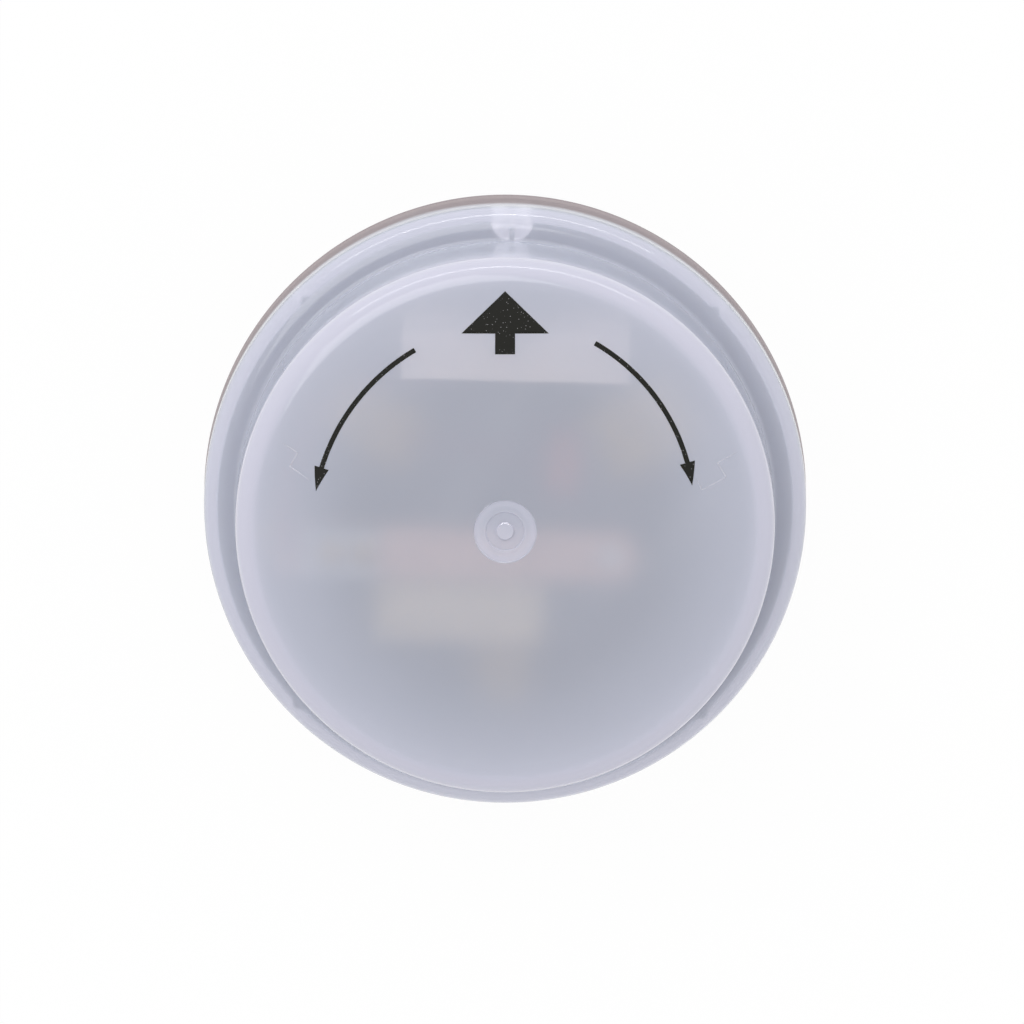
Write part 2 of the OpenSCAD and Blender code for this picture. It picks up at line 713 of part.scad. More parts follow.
module surge_arrester() color("#c8583c") {
    translate([arrester_x - arrester_t / 2, arrester_y, arrester_mid_z]) rotate([0, 90, 0])
        rotate_extrude() intersection() {
            translate([-arrester_d / 2, 0]) rounded_rectangle([arrester_d, arrester_t], arrester_round);
            square([arrester_d, arrester_t]);
        }
    translate([arrester_x - arrester_t / 2, arrester_south_y - lead_d, arrester_pad_z])
        cube([arrester_t, arrester_pitch + 2 * lead_d, arrester_d / 3]);
}

module arrester_leads() color("#cfcfcf") {
    translate([arrester_x, arrester_south_y, lead_foot_z])
        cylinder(h = arrester_pad_z - lead_foot_z, r = lead_r);
    translate([arrester_x, arrester_north_y, 0]) {
        translate([0, 0, arrester_lead_z + lead_bend])
            cylinder(h = arrester_pad_z - arrester_lead_z - lead_bend, r = lead_r);
        translate([lead_bend, 0, arrester_lead_z + lead_bend]) rotate([90, 0, 0])
            rotate_extrude(angle = 90, start = 180) translate([lead_bend, 0]) circle(lead_r);
        translate([lead_bend, 0, arrester_lead_z]) rotate([0, 90, 0])
            cylinder(h = arrester_lead_l - lead_bend, r = lead_r);
    }
}

// Moulded bracket: a front wall with the cell's window, a deep top bar, and two feet on pegs
module cell_bracket() color("#efe6e4") translate([bracket_x, 0, 0]) {
    wall_y = bracket_front_y - bracket_t;
    arch_w = bracket_w - 2 * bracket_foot_w;
    difference() {
        union() {
            translate([-bracket_w / 2, wall_y, base_top])
                cube([bracket_w, bracket_t, bracket_top_z - base_top]);
            translate([-bracket_w / 2, bracket_back_y, bracket_top_z - bracket_t])
                cube([bracket_w, bracket_depth, bracket_t]);
            for (s = [-1, 1]) translate([s * peg_x - bracket_foot_w / 2, bracket_back_y, base_top])
                cube([bracket_foot_w, bracket_depth, bracket_t]);
        }
        translate([0, bracket_front_y + bite, cell_z]) rotate([90, 0, 0])
            cylinder(h = bracket_depth, d = cell_d - 2 * cell_rim);
        translate([0, cell_front_y, cell_z]) rotate([90, 0, 0])
            cylinder(h = bracket_depth, d = cell_d + 2 * fit_gap);
        translate([-arch_w / 2, wall_y - bite, base_top - bite])
            cube([arch_w, bracket_t + 2 * bite, cell_h - cell_d / 2 - bracket_t + bite]);
    }
    for (s = [-1, 1]) translate([s * peg_x, peg_y, base_top - peg_l]) cylinder(h = peg_l + bite, d = peg_d);
}

module photocell() color("#b4593c") translate([bracket_x, cell_front_y, cell_z])
    rotate([90, 0, 0]) cylinder(h = cell_t, d = cell_d);

module photocell_leads() color("#cfcfcf") for (s = [-1, 1])
    translate([bracket_x + s * cell_pitch / 2, cell_back_y, 0]) rotate(-90) down_lead(cell_z, lead_foot_z);

// Points of a smooth curve through a route, two to a span, by the Catmull-Rom rule
function spline_point(p, t) = 0.5 * (2 * p[1] + (p[2] - p[0]) * t
    + (2 * p[0] - 5 * p[1] + 4 * p[2] - p[3]) * t * t + (3 * p[1] - p[0] - 3 * p[2] + p[3]) * t * t * t);
function smooth_route(route) = let (last = len(route) - 1) [
    for (i = [0 : last - 1], t = [0, 0.5]) spline_point(
        [route[max(i - 1, 0)], route[i], route[i + 1], route[min(i + 2, last)]], t),
    route[last]
];

// A round wire swept along a route, with its ends cut square
module wire(route) {
    sides = 10;
    path = smooth_route(route);
    last = len(path) - 1;
    rings = [
        for (i = [0 : last])
            let (along = path[min(i + 1, last)] - path[max(i - 1, 0)])
            let (ahead = along / norm(along))
            let (flat = cross([0, 0, 1], ahead))
            let (side = flat / norm(flat))
            let (up = cross(ahead, side))
            for (k = [0 : sides - 1])
                path[i] + wire_d / 2 * (cos(360 * k / sides) * side + sin(360 * k / sides) * up)
    ];
    walls = [
        for (i = [0 : last - 1], k = [0 : sides - 1])
            let (a = i * sides + k, b = i * sides + (k + 1) % sides)
            [a, a + sides, b + sides, b]
    ];
    start_cap = [for (k = [0 : sides - 1]) k];
    end_cap = [for (k = [sides - 1 : -1 : 0]) last * sides + k];
    translate([0, 0, base_top]) polyhedron(rings, concat(walls, [start_cap, end_cap]), 6);
}

module line_wire() color("#8a2f2a") wire(line_route);

module load_wire() color("#2f2f33") wire(load_route);

module cell_wire() color("#8a2f2a") wire(cell_route);

module heater_wire() color("#d9d6cc") wire(heater_route);

module neutral_wire() color("#d9d6cc") wire(neutral_route);

module surge_wire() color("#8a2f2a") wire(surge_route);

cover();
base_plate();
gasket();
line_blade();
load_blade();
neutral_blade();
blade_rivets();
strip_post();
post_rivet();
stack_insulators();
compensating_strip();
bimetal_strip();
clamp_plate();
stack_rivets();
fixed_contact();
moving_contact();
calibration_screw();
heater_resistor();
heater_leads();
surge_arrester();
arrester_leads();
cell_bracket();
photocell();
photocell_leads();
line_wire();
load_wire();
cell_wire();
heater_wire();
neutral_wire();
surge_wire();
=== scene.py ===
"""Looks of a plug-in photocell switch for outdoor lamps.

A milky stepped cover with printed arrows, brass twist-lock blades under a foam gasket, and the heated
bimetal switch that shows dimly through the cover. Sizes in the classes are millimetres, meshes are metres.
"""

from __future__ import annotations

import logging
import math
from dataclasses import dataclass
from enum import Enum

import bpy
import numpy as np
from bpy.types import ID, Material, Node, NodeSocket, NodeTree, Object
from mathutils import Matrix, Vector


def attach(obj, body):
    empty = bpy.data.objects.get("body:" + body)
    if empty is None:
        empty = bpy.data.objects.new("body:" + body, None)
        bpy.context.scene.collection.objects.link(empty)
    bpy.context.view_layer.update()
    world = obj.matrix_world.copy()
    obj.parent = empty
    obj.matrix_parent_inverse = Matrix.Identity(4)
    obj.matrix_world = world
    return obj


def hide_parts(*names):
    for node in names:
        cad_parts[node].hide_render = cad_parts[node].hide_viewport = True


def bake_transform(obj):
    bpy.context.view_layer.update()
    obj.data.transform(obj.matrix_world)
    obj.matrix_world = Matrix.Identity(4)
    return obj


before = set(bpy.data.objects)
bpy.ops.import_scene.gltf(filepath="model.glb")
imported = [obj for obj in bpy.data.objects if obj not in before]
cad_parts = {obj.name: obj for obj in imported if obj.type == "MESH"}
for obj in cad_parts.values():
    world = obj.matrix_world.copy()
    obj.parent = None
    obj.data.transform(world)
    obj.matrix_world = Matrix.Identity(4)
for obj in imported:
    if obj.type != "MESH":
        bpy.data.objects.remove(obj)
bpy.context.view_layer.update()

MM = 0.001
LOG = logging.getLogger("photocell_switch")
# The mesh attribute of painted glow and shade that colours the cover's plastic.
DEPTH_GLOW = "painted_depth_glow"
Pair = tuple[float, float]
# A quarter turn, which is also the direction of north.
QUARTER = math.pi / 2
# The top of the base, under the wires and inside the cover.
BASE_TOP = 6.2
# How far the photograph is turned from the part's north, for the camera and the print.
TURNED_DEG = 1.4
# A step this small makes a crisp edge.
HAIR = 0.001
# Lengths that differ by less count as equal.
SLACK = 0.01
# Blender's wave texture turns by this many radians for each unit of length.
WAVE_TURN = 20


class Body(str, Enum):
    """The two bodies that pieces ride on."""

    HOUSING = "housing"
    ARM = "contact_arm"


def linear(hex_colour: str) -> tuple[float, float, float, float]:
    """Turn an sRGB hex colour into linear red, green, blue and a full alpha.

    Args:
        hex_colour: a hash mark and six hex digits.

    Returns:
        The linear colour, each part from 0 to 1.
    """
    parts = np.array([int(hex_colour[i:i + 2], 16) for i in (1, 3, 5)]) / 255
    low = parts / 12.92
    high = ((parts + 0.055) / 1.055) ** 2.4
    return (*np.where(parts <= 0.04045, low, high).tolist(), 1.0)


def set_inputs(tree: NodeTree, node: Node, inputs: dict) -> None:
    """Set constants on a node's sockets, and link what comes from another node.

    Args:
        tree: the node tree that holds the node.
        node: the node.
        inputs: for each socket's name or number, a constant, or an output socket to link.
    """
    for socket, value in inputs.items():
        if isinstance(value, NodeSocket):
            tree.links.new(value, node.inputs[socket])
        else:
            node.inputs[socket].default_value = value


def add_node(tree: NodeTree, kind: str, inputs: dict | None = None, **settings) -> Node:
    """Add a shader node with its settings, constants and links.

    Args:
        tree: the node tree that takes the node.
        kind: Blender's name of the node's type, after ShaderNode.
        inputs: constants and links, as set_inputs takes them.
        settings: the node's own properties.

    Returns:
        The new node.
    """
    node = tree.nodes.new(f"ShaderNode{kind}")
    for name, value in settings.items():
        setattr(node, name, value)
    set_inputs(tree, node, inputs or {})
    return node


def add_object(name: str, data: ID) -> Object:
    """Put a new object into the scene.

    Args:
        name: its name.
        data: its mesh, camera or light.

    Returns:
        The object.
    """
    made = bpy.data.objects.new(name, data)
    bpy.context.scene.collection.objects.link(made)
    return made


@dataclass(frozen=True)
class Surface:
    """A material's node tree, its Principled shader and the Object coordinates that its patterns follow."""

    tree: NodeTree
    shader: Node
    place: NodeSocket

    def paint(self, inputs: dict) -> None:
        """Set inputs of the Principled shader."""
        set_inputs(self.tree, self.shader, inputs)

    def add(self, kind: str, inputs: dict, **settings) -> Node:
        """Add a node to the tree."""
        return add_node(self.tree, kind, inputs, **settings)

    def texture(self, kind: str, size_mm: float, **inputs) -> Node:
        """Add a texture whose features are this many millimetres across."""
        return self.add(f"Tex{kind}", {"Vector": self.place, "Scale": 1 / (size_mm * MM), **inputs})


@dataclass(frozen=True)
class Finish:
    """A plain glossy or matte surface with a faint mottle, the start of every finish.

    The mottle is a noise that shades the colour between two hex values, and a bump of the same noise. The
    spread holds the pattern's values that give the dark and the light colour.
    """

    name: str
    light: str
    dark: str
    roughness: float = 0.5
    metallic: float = 0.0
    ior: float = 1.5
    mottle_mm: float = 0.8
    bump_mm: float = 0.004
    spread: Pair = (0.35, 0.65)

    def material(self) -> Material:
        """Build the finish's material.

        Returns:
            A new material with its node tree.
        """
        made = bpy.data.materials.new(self.name)
        made.use_nodes = True
        tree = made.node_tree
        place = add_node(tree, "TexCoord").outputs["Object"]
        on = Surface(tree, tree.nodes["Principled BSDF"], place)
        on.paint({"Roughness": self.roughness, "Metallic": self.metallic, "IOR": self.ior})
        self.pattern(on)
        return made

    def pattern(self, on: Surface) -> None:
        """Shade the colour and bump the surface with the finish's own pattern.

        Args:
            on: the surface.
        """
        grain = on.texture("Noise", self.mottle_mm, Detail=4.0, Roughness=0.6).outputs["Fac"]
        self.shade(on, grain)
        self.emboss(on, grain)

    def shade(self, on: Surface, share: NodeSocket) -> Node:
        """Colour the surface from dark to light as a pattern goes through the spread.

        Args:
            on: the surface.
            share: the pattern's value.

        Returns:
            The colour ramp.
        """
        ramp = on.add("ValToRGB", {"Fac": share})
        for element, position, colour in zip(ramp.color_ramp.elements, self.spread, (self.dark, self.light)):
            element.position = position
            element.color = linear(colour)
        on.paint({"Base Color": ramp.outputs["Color"]})
        return ramp

    def emboss(self, on: Surface, height: NodeSocket) -> None:
        """Bump the surface by a pattern from 0 to 1, to the finish's real depth."""
        bump = on.add("Bump", {"Height": height, "Strength": 1.0, "Distance": self.bump_mm * MM})
        on.paint({"Normal": bump.outputs["Normal"]})


@dataclass(frozen=True)
class MilkyPolypropylene(Finish):
    """Moulded natural polypropylene: cloudy, so a deep wall looks pale and a thin one lets the inside show.

    The mesh carries a painted glow at each point, which follows the depth of plastic beneath it,
    from 0 where it is thinnest to 1 along a standing wall: deep plastic is painted paler and less
    clear, standing in for light scattered down its depth. The thinnest part, low on the skirt, is
    painted brown-grey: partly the brown base seen through it, partly painted shade for the shaded
    floor that it reflects. The three clear shares are those of the thinnest, the plain and the
    deepest plastic.
    """

    spread: Pair = (0.16, 1.0)
    # Painted shade on the thinnest plastic: brown-grey, partly the base seen through, partly the shaded
    # floor reflected.
    thin: str = "#94888c"
    thin_at: float = 0.042
    clear: tuple[float, float, float] = (0.3, 0.65, 0.12)
    cloud: float = 0.06
    gloss: float = 0.08
    matte: float = 0.1

    @property
    def plain(self) -> float:
        """Depth of a plain wall or face."""
        return self.spread[0]

    def pattern(self, on: Surface) -> None:
        """Shade and clear the plastic by its painted glow and a faint cloud; the gloss dulls as it thins.

        Args:
            on: the surface.
        """
        # The painted glow: pale where the plastic runs deep, painted shade where it is thinnest.
        depth = on.add("Attribute", {}, attribute_name=DEPTH_GLOW).outputs["Fac"]
        cloud = on.texture("Noise", self.mottle_mm, Detail=2.0, Roughness=0.5).outputs["Fac"]
        flow = on.add("Math", {0: cloud, 1: self.cloud, 2: depth}, operation="MULTIPLY_ADD")
        ramp = self.shade(on, flow.outputs[0])
        ramp.color_ramp.elements.new(self.thin_at).color = linear(self.thin)
        for element, clear in zip(ramp.color_ramp.elements, self.clear):
            element.alpha = clear
        polish = on.add("MapRange", {"Value": depth, "From Max": self.plain, "To Min": self.matte})
        on.paint({
            "Transmission Weight": ramp.outputs["Alpha"], "Specular IOR Level": 0.0,
            "Coat Weight": polish.outputs["Result"], "Coat IOR": self.ior, "Coat Roughness": self.gloss,
        })


@dataclass(frozen=True)
class ClearInside(Finish):
    """The side of a cloudy plastic that lets all the light through, and only blurs it."""

    def pattern(self, on: Surface) -> None:
        """Let all the light through."""
        super().pattern(on)
        on.paint({"Transmission Weight": 1.0})


@dataclass(frozen=True)
class PadInk(Finish):
    """Printed ink with pinholes, where the film didn't wet the plastic."""

    pinhole_mm: float = 0.34
    spread: Pair = (0.06, 0.14)

    def pattern(self, on: Surface) -> None:
        """Scatter pale pinholes over the ink."""
        self.shade(on, on.texture("Voronoi", self.pinhole_mm).outputs["Distance"])


@dataclass(frozen=True)
class FoamRubber(Finish):
    """Foam rubber with small cells, open where it was cut."""

    spread: Pair = (0.05, 0.6)

    def pattern(self, on: Surface) -> None:
        """Dent the surface with cells, with painted shade at their bottoms.

        Args:
            on: the surface.
        """
        cells = on.texture("Voronoi", self.mottle_mm).outputs["Distance"]
        # Painted shade: the colour darkens towards the bottoms of the dents.
        self.shade(on, cells)
        self.emboss(on, cells)


@dataclass(frozen=True)
class RolledMetal(Finish):
    """Rolled and stamped sheet: fine lines along the rolling direction and a faint tarnish.

    Along the tarnish's range, the roughness goes through the dulling that is added to it.
    """

    metallic: float = 1.0
    spread: Pair = (0.3, 0.6)
    streak_mm: float = 0.15
    stretch: tuple[float, float, float] = (0.04, 1.0, 1.0)
    tarnish: Pair = (0.3, 0.7)
    dulling: Pair = (0.15, -0.05)

    def pattern(self, on: Surface) -> None:
        """Draw the rolling lines as a stretched noise, and the tarnish as a wide one.

        Args:
            on: the surface.
        """
        along = on.add("Mapping", {"Vector": on.place, "Scale": self.stretch}).outputs["Vector"]
        lines = on.texture("Noise", self.streak_mm, Vector=along, Detail=3.0).outputs["Fac"]
        tarnish = on.texture("Noise", self.mottle_mm, Detail=4.0, Roughness=0.65).outputs["Fac"]
        self.shade(on, tarnish)
        dull = on.add("MapRange", {
            "Value": tarnish, "From Min": self.tarnish[0], "From Max": self.tarnish[1],
            "To Min": self.roughness + self.dulling[0], "To Max": self.roughness + self.dulling[1],
        })
        on.paint({"Roughness": dull.outputs["Result"]})
        self.emboss(on, lines)


@dataclass(frozen=True)
class CellLayer(Finish):
    """A photocell's layer, with the winding gap between its two electrodes."""

    spread: Pair = (0.75, 0.85)
    gap_mm: float = 1.1
    waviness: float = 1.2
    coat: float = 0.6

    def pattern(self, on: Surface) -> None:
        """Draw the gap as waving bands across the disc."""
        self.shade(on, on.texture("Wave", WAVE_TURN * self.gap_mm, Distortion=self.waviness).outputs["Fac"])
        on.paint({"Coat Weight": self.coat})


@dataclass(frozen=True)
class Insulation(Finish):
    """A wire's extruded PVC: smooth and half glossy."""

    roughness: float = 0.38
    mottle_mm: float = 2.0


# Natural polypropylene, injection moulded: a glossy blue-grey milk that lets dim shapes through.
# Its depth attribute paints a pale glow where the plastic runs deep, and painted shade low on the skirt.
COVER_PLASTIC = MilkyPolypropylene("milky_polypropylene", "#c8c8d8", "#e4ebff", roughness=0.42, ior=1.49,
                                   mottle_mm=14.0)
# The same plastic off a blasted mould: neutral in colour, and it blurs what lies behind it.
COVER_INSIDE = ClearInside("polypropylene_inner_side", "#fff6ea", "#fff2e2", roughness=0.1, ior=1.49,
                           mottle_mm=6.0, bump_mm=0.0)
# Pad-printing ink: a nearly matte olive black with tiny pinholes, drawn wider than the real ones to show.
INK = PadInk("pad_printed_ink", "#10100a", "#b9b8bc", roughness=0.55, ior=1.34)
# Phenolic resin, pressed hot: dark brown and half glossy, with flecks of filler drawn a little coarse.
PHENOLIC = Finish("moulded_phenolic", "#6e5c50", "#5c4b41", roughness=0.4, mottle_mm=0.4, bump_mm=0.006)
# Foam rubber, cut from sheet: dull charcoal with small open cells, painted darker at their bottoms as shade.
FOAM = FoamRubber("closed_cell_foam", "#46474a", "#2b2c2f", roughness=0.9, mottle_mm=0.5, bump_mm=0.08)
# Brass sheet, stamped: bright yellow with rolling lines, drawn wider than the real ones to show.
BLADE_BRASS = RolledMetal("stamped_brass", "#d4b87f", "#b3935a", roughness=0.28, mottle_mm=3.0)
# Brass wire, cold headed: a duller yellow with some tarnish.
RIVET_BRASS = RolledMetal("headed_brass", "#cbaf77", "#a88a54", roughness=0.34, mottle_mm=1.5)
# Steel sheet, zinc plated: a pale grey satin with faint clouds.
ZINC_STEEL = RolledMetal("zinc_plated_steel", "#c9c8c4", "#a9a8a2", roughness=0.35, mottle_mm=2.0)
# Two alloys rolled into one strip: a pinkish satin metal.
BIMETAL = RolledMetal("rolled_bimetal", "#e0b8a2", "#c99c84", roughness=0.35, mottle_mm=2.5)
# Silver, pressed: the palest and brightest of the metals inside.
SILVER = RolledMetal("pressed_silver", "#e6e4df", "#c9c6be", roughness=0.25, mottle_mm=1.0)
# Copper wire, tinned: pale grey with a soft shine.
TINNED = RolledMetal("tinned_copper_wire", "#d6d6d4", "#b4b4b0", roughness=0.3, mottle_mm=0.8)
# Fibre board, punched: a dry warm brown with short flecks.
FIBRE = Finish("laminated_fibre_board", "#c9a584", "#b28a67", roughness=0.7, mottle_mm=0.6, bump_mm=0.01)
# Ceramic, cast and left unglazed: a chalky cream without any shine.
HEATER_CERAMIC = Finish("unglazed_ceramic", "#f2e0bd", "#e6cf9f", roughness=0.75, mottle_mm=0.5,
                        bump_mm=0.012)
# Epoxy, dipped: a glossy brick red with the slow waves of a coat that ran.
EPOXY = Finish("dipped_epoxy", "#c2603f", "#a84a2e", roughness=0.3, mottle_mm=1.5, bump_mm=0.02)
# Nylon, moulded: a warm white with a soft shine, the palest thing under the cover.
BRACKET_PLASTIC = Finish("moulded_nylon", "#fff1e4", "#fae6d8", roughness=0.5, mottle_mm=1.0)
# A light-sensitive layer, sintered on ceramic: brick red with a pale winding gap, under a clear coat.
CELL_LAYER = CellLayer("sintered_cell_layer", "#dccfb8", "#9a4a2b", roughness=0.3)
# The ridge that a mould's insert leaves in polypropylene: a shade paler than the face around it.
WITNESS = Finish("polypropylene_witness_line", "#c6c6d1", "#babac7", roughness=0.4, mottle_mm=0.5)
# PVC, extruded: smooth and half glossy, a dark red.
PVC_RED = Insulation("red_pvc_insulation", "#9c3a33", "#84302a")
# PVC, extruded: smooth and half glossy, black.
PVC_BLACK = Insulation("black_pvc_insulation", "#3a3a3d", "#2c2c2f")
# PVC, extruded: smooth and half glossy, an off-white.
PVC_WHITE = Insulation("white_pvc_insulation", "#dedad0", "#cdc8bc")

NODE_FINISHES: dict[Finish, tuple[str, ...]] = {
    PHENOLIC: ("base_plate",),
    BLADE_BRASS: ("line_blade", "load_blade", "neutral_blade"),
    RIVET_BRASS: ("blade_rivets", "post_rivet", "stack_rivets", "calibration_screw"),
    ZINC_STEEL: ("strip_post", "clamp_plate"),
    FIBRE: ("stack_insulators",),
    BIMETAL: ("compensating_strip",),
    SILVER: ("fixed_contact", "moving_contact"),
    HEATER_CERAMIC: ("heater_resistor",),
    TINNED: ("heater_leads", "arrester_leads", "photocell_leads"),
    EPOXY: ("surge_arrester",),
    BRACKET_PLASTIC: ("cell_bracket",),
    CELL_LAYER: ("photocell",),
}


def straight(start: Pair, end: Pair, count: int) -> np.ndarray:
    """Points evenly along a straight stretch, start + t (end - start)."""
    return np.linspace(np.array(start, float), np.array(end, float), count)


def arc(centre: Pair, radius: float, start_deg: float, end_deg: float, count: int) -> np.ndarray:
    """Points evenly along an arc between two angles, centre + radius (cos a, sin a)."""
    turn = np.radians(np.linspace(start_deg, end_deg, count))
    return np.array(centre, float) + radius * np.column_stack([np.cos(turn), np.sin(turn)])


def smooth_step(value: np.ndarray, low: np.ndarray | float, high: np.ndarray | float) -> np.ndarray:
    """Rise smoothly from 0 at the low value to 1 at the high one, by 3 t^2 - 2 t^3."""
    t = np.clip((value - low) / (high - low), 0, 1)
    return t * t * (3 - 2 * t)


def rise(value: np.ndarray, place: np.ndarray | float, ramp: Pair) -> np.ndarray:
    """Rise smoothly from 0 to 1 along a ramp, whose two ends are measured from a place."""
    return smooth_step(value, place + ramp[0], place + ramp[1])


def signed_volume(points: np.ndarray, faces: list[np.ndarray]) -> float:
    """Volume inside faces, by the sum of a . (b x c) / 6 over triangles: positive when they face outwards.

    Args:
        points: the corners' places.
        faces: arrays of faces with three or four corners.

    Returns:
        The volume, with its sign.
    """
    total = 0.0
    for face in faces:
        for second in range(1, face.shape[1] - 1):
            a, b, c = points[face[:, 0]], points[face[:, second]], points[face[:, second + 1]]
            total += float(np.einsum("ij,ij->", a, np.cross(b, c))) / 6
    return total


def shell(grid: np.ndarray, loop: bool) -> tuple[np.ndarray, list[np.ndarray]]:
    """Close rings of points into a shell: walls between the rings, and a fan at each end unless they loop.

    Args:
        grid: points, indexed by ring, then by place around the ring.
        loop: whether the last ring joins the first one.

    Returns:
        The points, and arrays of faces that look outwards.
    """
    rings, around = grid.shape[:2]
    index = np.arange(rings * around).reshape(rings, around)
    index = np.vstack([index, index[:1]]) if loop else index
    wrapped = np.hstack([index, index[:, :1]])
    walls = np.stack([wrapped[:-1, :-1], wrapped[1:, :-1], wrapped[1:, 1:], wrapped[:-1, 1:]], axis=-1)
    points, faces = grid.reshape(-1, 3), [walls.reshape(-1, 4)]
    if not loop:
        first, last = np.full(around, rings * around), np.full(around, rings * around + 1)
        faces.append(np.stack([first, wrapped[0, :-1], wrapped[0, 1:]], axis=-1))
        faces.append(np.stack([last, wrapped[-1, 1:], wrapped[-1, :-1]], axis=-1))
        points = np.vstack([points, grid[0].mean(0), grid[-1].mean(0)])
    if signed_volume(points, faces) < 0:
        faces = [face[:, ::-1] for face in faces]
    return points, faces


def skin(name: str, *grids: np.ndarray, loop: bool = False, sharp_deg: float = 32.0) -> Object:
    """Make a mesh of one or more closed shells.

    Args:
        name: the piece's name.
        grids: points in millimetres for each shell, indexed by ring, then by place around the ring.
        loop: whether each shell's last ring joins its first one.
        sharp_deg: edges that turn more than this stay crisp.

    Returns:
        The new object, linked to the scene.
    """
    points, faces, start = [], [], 0
    for grid in grids:
        corners, walls = shell(grid, loop)
        points.append(corners)
        faces += [corner for wall in walls for corner in (wall + start).tolist()]
        start += len(corners)
    mesh = bpy.data.meshes.new(name)
    mesh.from_pydata((np.vstack(points) * MM).tolist(), [], faces)
    mesh.shade_smooth()
    mesh.set_sharp_from_angle(angle=math.radians(sharp_deg))
    return add_object(name, mesh)


def dress(piece: Object, finish: Finish, slot: str, body: Body | None, *nodes: str) -> None:
    """Give a piece its finish and the body it rides on, and hide the nodes it stands for.

    Args:
        piece: the finished piece.
        finish: its finish.
        slot: the record's material slot; not used.
        body: the body it rides on, or None for a piece on no body.
        nodes: the nodes it replaces.
    """
    piece.data.materials.clear()
    piece.data.materials.append(finish.material())
    if body:
        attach(piece, body.value)
    if nodes:
        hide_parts(*nodes)
    LOG.info("%s: %s, %d faces", piece.name, finish.name, len(piece.data.polygons))


@dataclass
class Cover:
    """The stepped cover: one turned section with a key, notches and a gate mark.

    A glow is a share of the painted glow that stands in for light scattered through deep plastic, a ramp
    holds the two ends of a rise from a place, and steps count the points along a stretch.
    """

    corner_r: float = 37.0
    skirt_flare: float = 0.6
    skirt_lift: float = 1.4
    corner_z: float = 12.0
    skirt_round: float = 3.0
    lip_round: float = 0.3
    ledge_w: float = 4.2
    cap_h: float = 15.2
    cap_lean: float = 0.65
    cap_round: float = 3.0
    crown_h: float = 1.4
    wall: float = 1.85
    cap_inner_round: float = 0.9
    skirt_inner_round: float = 0.3
    ceiling_hub_r: float = 0.5
    foot_fillet: float = 0.5
    base_z: float = 3.0
    base_top: float = BASE_TOP
    mouth_r: float = 35.98
    bead_w: float = 0.5
    bead_h: float = 1.2
    key_w: float = 5.2
    key_y: float = 35.35
    key_lift: float = 0.12
    key_slot_w: float = 0.7
    key_slot_d: float = 1.7
    key_slot_edge: float = 0.02
    notch_w: float = 1.8
    notch_d: float = 0.6
    notch_runout: float = 0.05
    gate_d: float = 7.4
    gate_ring_d: float = 4.6
    gate_nub_d: float = 2.0
    gate_depth: float = 0.2
    gate_ease: float = 0.06
    # Shares of the painted glow, pale where deep plastic would scatter light; the gate's edges get painted
    # highlights.
    rim_glow: float = 0.38
    ledge_glow: float = 0.28
    skirt_glow: float = 0.74
    gate_glow: float = 0.42
    gate_edge_glow: float = 0.55
    wall_glow: float = 0.12
    skirt_ramp: Pair = (-0.08, 0.15)
    key_ramp: Pair = (-0.1, 0.15)
    band_ramp: Pair = (0.8, 1.4)
    rim_ramp: Pair = (-2.2, 0.5)
    rim_full: float = 0.6
    cap_ramp: Pair = (-4.0, 0.0)
    border_ramp: Pair = (-0.8, -0.6)
    step_ramp: Pair = (0.07, 0.2)
    nub_ramp: Pair = (-0.1, 0.25)
    dome_steps: int = 24
    wall_steps: int = 16
    corner_steps: int = 36
    ledge_steps: int = 8
    fillet_steps: int = 6
    inner_steps: int = 5
    key_steps: int = 33
    around: int = 300

    @property
    def ledge_z(self) -> float:
        """Height of the ledge."""
        return self.corner_z + self.skirt_round

    @property
    def face_z(self) -> float:
        """Height of the face's rim."""
        return self.ledge_z + self.cap_h + self.cap_round

    @property
    def top_z(self) -> float:
        """Height of the middle of the face."""
        return self.face_z + self.crown_h

    @property
    def cap_r(self) -> float:
        """Radius at the top of the cap's wall."""
        return self.corner_r - self.ledge_w - self.cap_lean

    def crown_radius(self, inset: float, rounding: float) -> float:
        """Radius of the crown, at an inset, that runs smoothly into a rounding at the cap's edge."""
        edge, drop = self.cap_r - inset - rounding, self.crown_h + rounding
        return (edge**2 + drop**2 - rounding**2) / (2 * self.crown_h)

    def face_height(self, radius: np.ndarray) -> np.ndarray:
        """Height of the outer face at a distance from its middle: the crown's arc."""
        crown = self.crown_radius(0.0, self.cap_round)
        return self.top_z - crown + np.sqrt(crown**2 - np.square(radius))

    def crown(self, inset: float, rounding: float, start_r: float, count: int) -> np.ndarray:
        """The crown's arc from a radius to the cap's edge, and the rounding down to the wall.

        Args:
            inset: how far the section lies inside the outer one.
            rounding: the radius at the cap's edge.
            start_r: where the arc starts.
            count: points on each of the two arcs.

        Returns:
            The points, from the middle outwards.
        """
        radius = self.crown_radius(inset, rounding)
        top = self.top_z - inset
        edge = (self.cap_r - inset - rounding, self.face_z - inset - rounding)
        tangent = math.degrees(math.acos(edge[0] / (radius - rounding)))
        start = math.degrees(math.acos(start_r / radius))
        dome = arc((0.0, top - radius), radius, start, tangent, count)
        return np.vstack([dome, arc(edge, rounding, tangent, 0.0, count)[1:]])

    def gate_section(self) -> np.ndarray:
        """The gate mark's half section: a nub in a sunk ring, in a shallow disc, with points where it pales.

        Returns:
            Points of radius and height, from the nub outwards.
        """
        ease, top, floor = self.gate_ease, self.top_z, self.top_z - self.gate_depth
        pit = floor - self.gate_depth
        nub, ring, disc = self.gate_nub_d / 2, self.gate_ring_d / 2, self.gate_d / 2
        return np.array([
            (nub / 2, top), (nub - ease, top), (nub, top - ease), (nub, pit + ease), (nub + ease, pit),
            (nub + self.nub_ramp[1], pit), (ring - self.step_ramp[1], pit), (ring - ease, pit),
            (ring, pit + ease), (ring, floor - ease), (ring + ease, floor),
            (ring + self.step_ramp[1], floor), (disc + self.border_ramp[0], floor),
            (disc + self.border_ramp[1], floor), (disc - ease, floor), (disc, floor + ease),
        ])

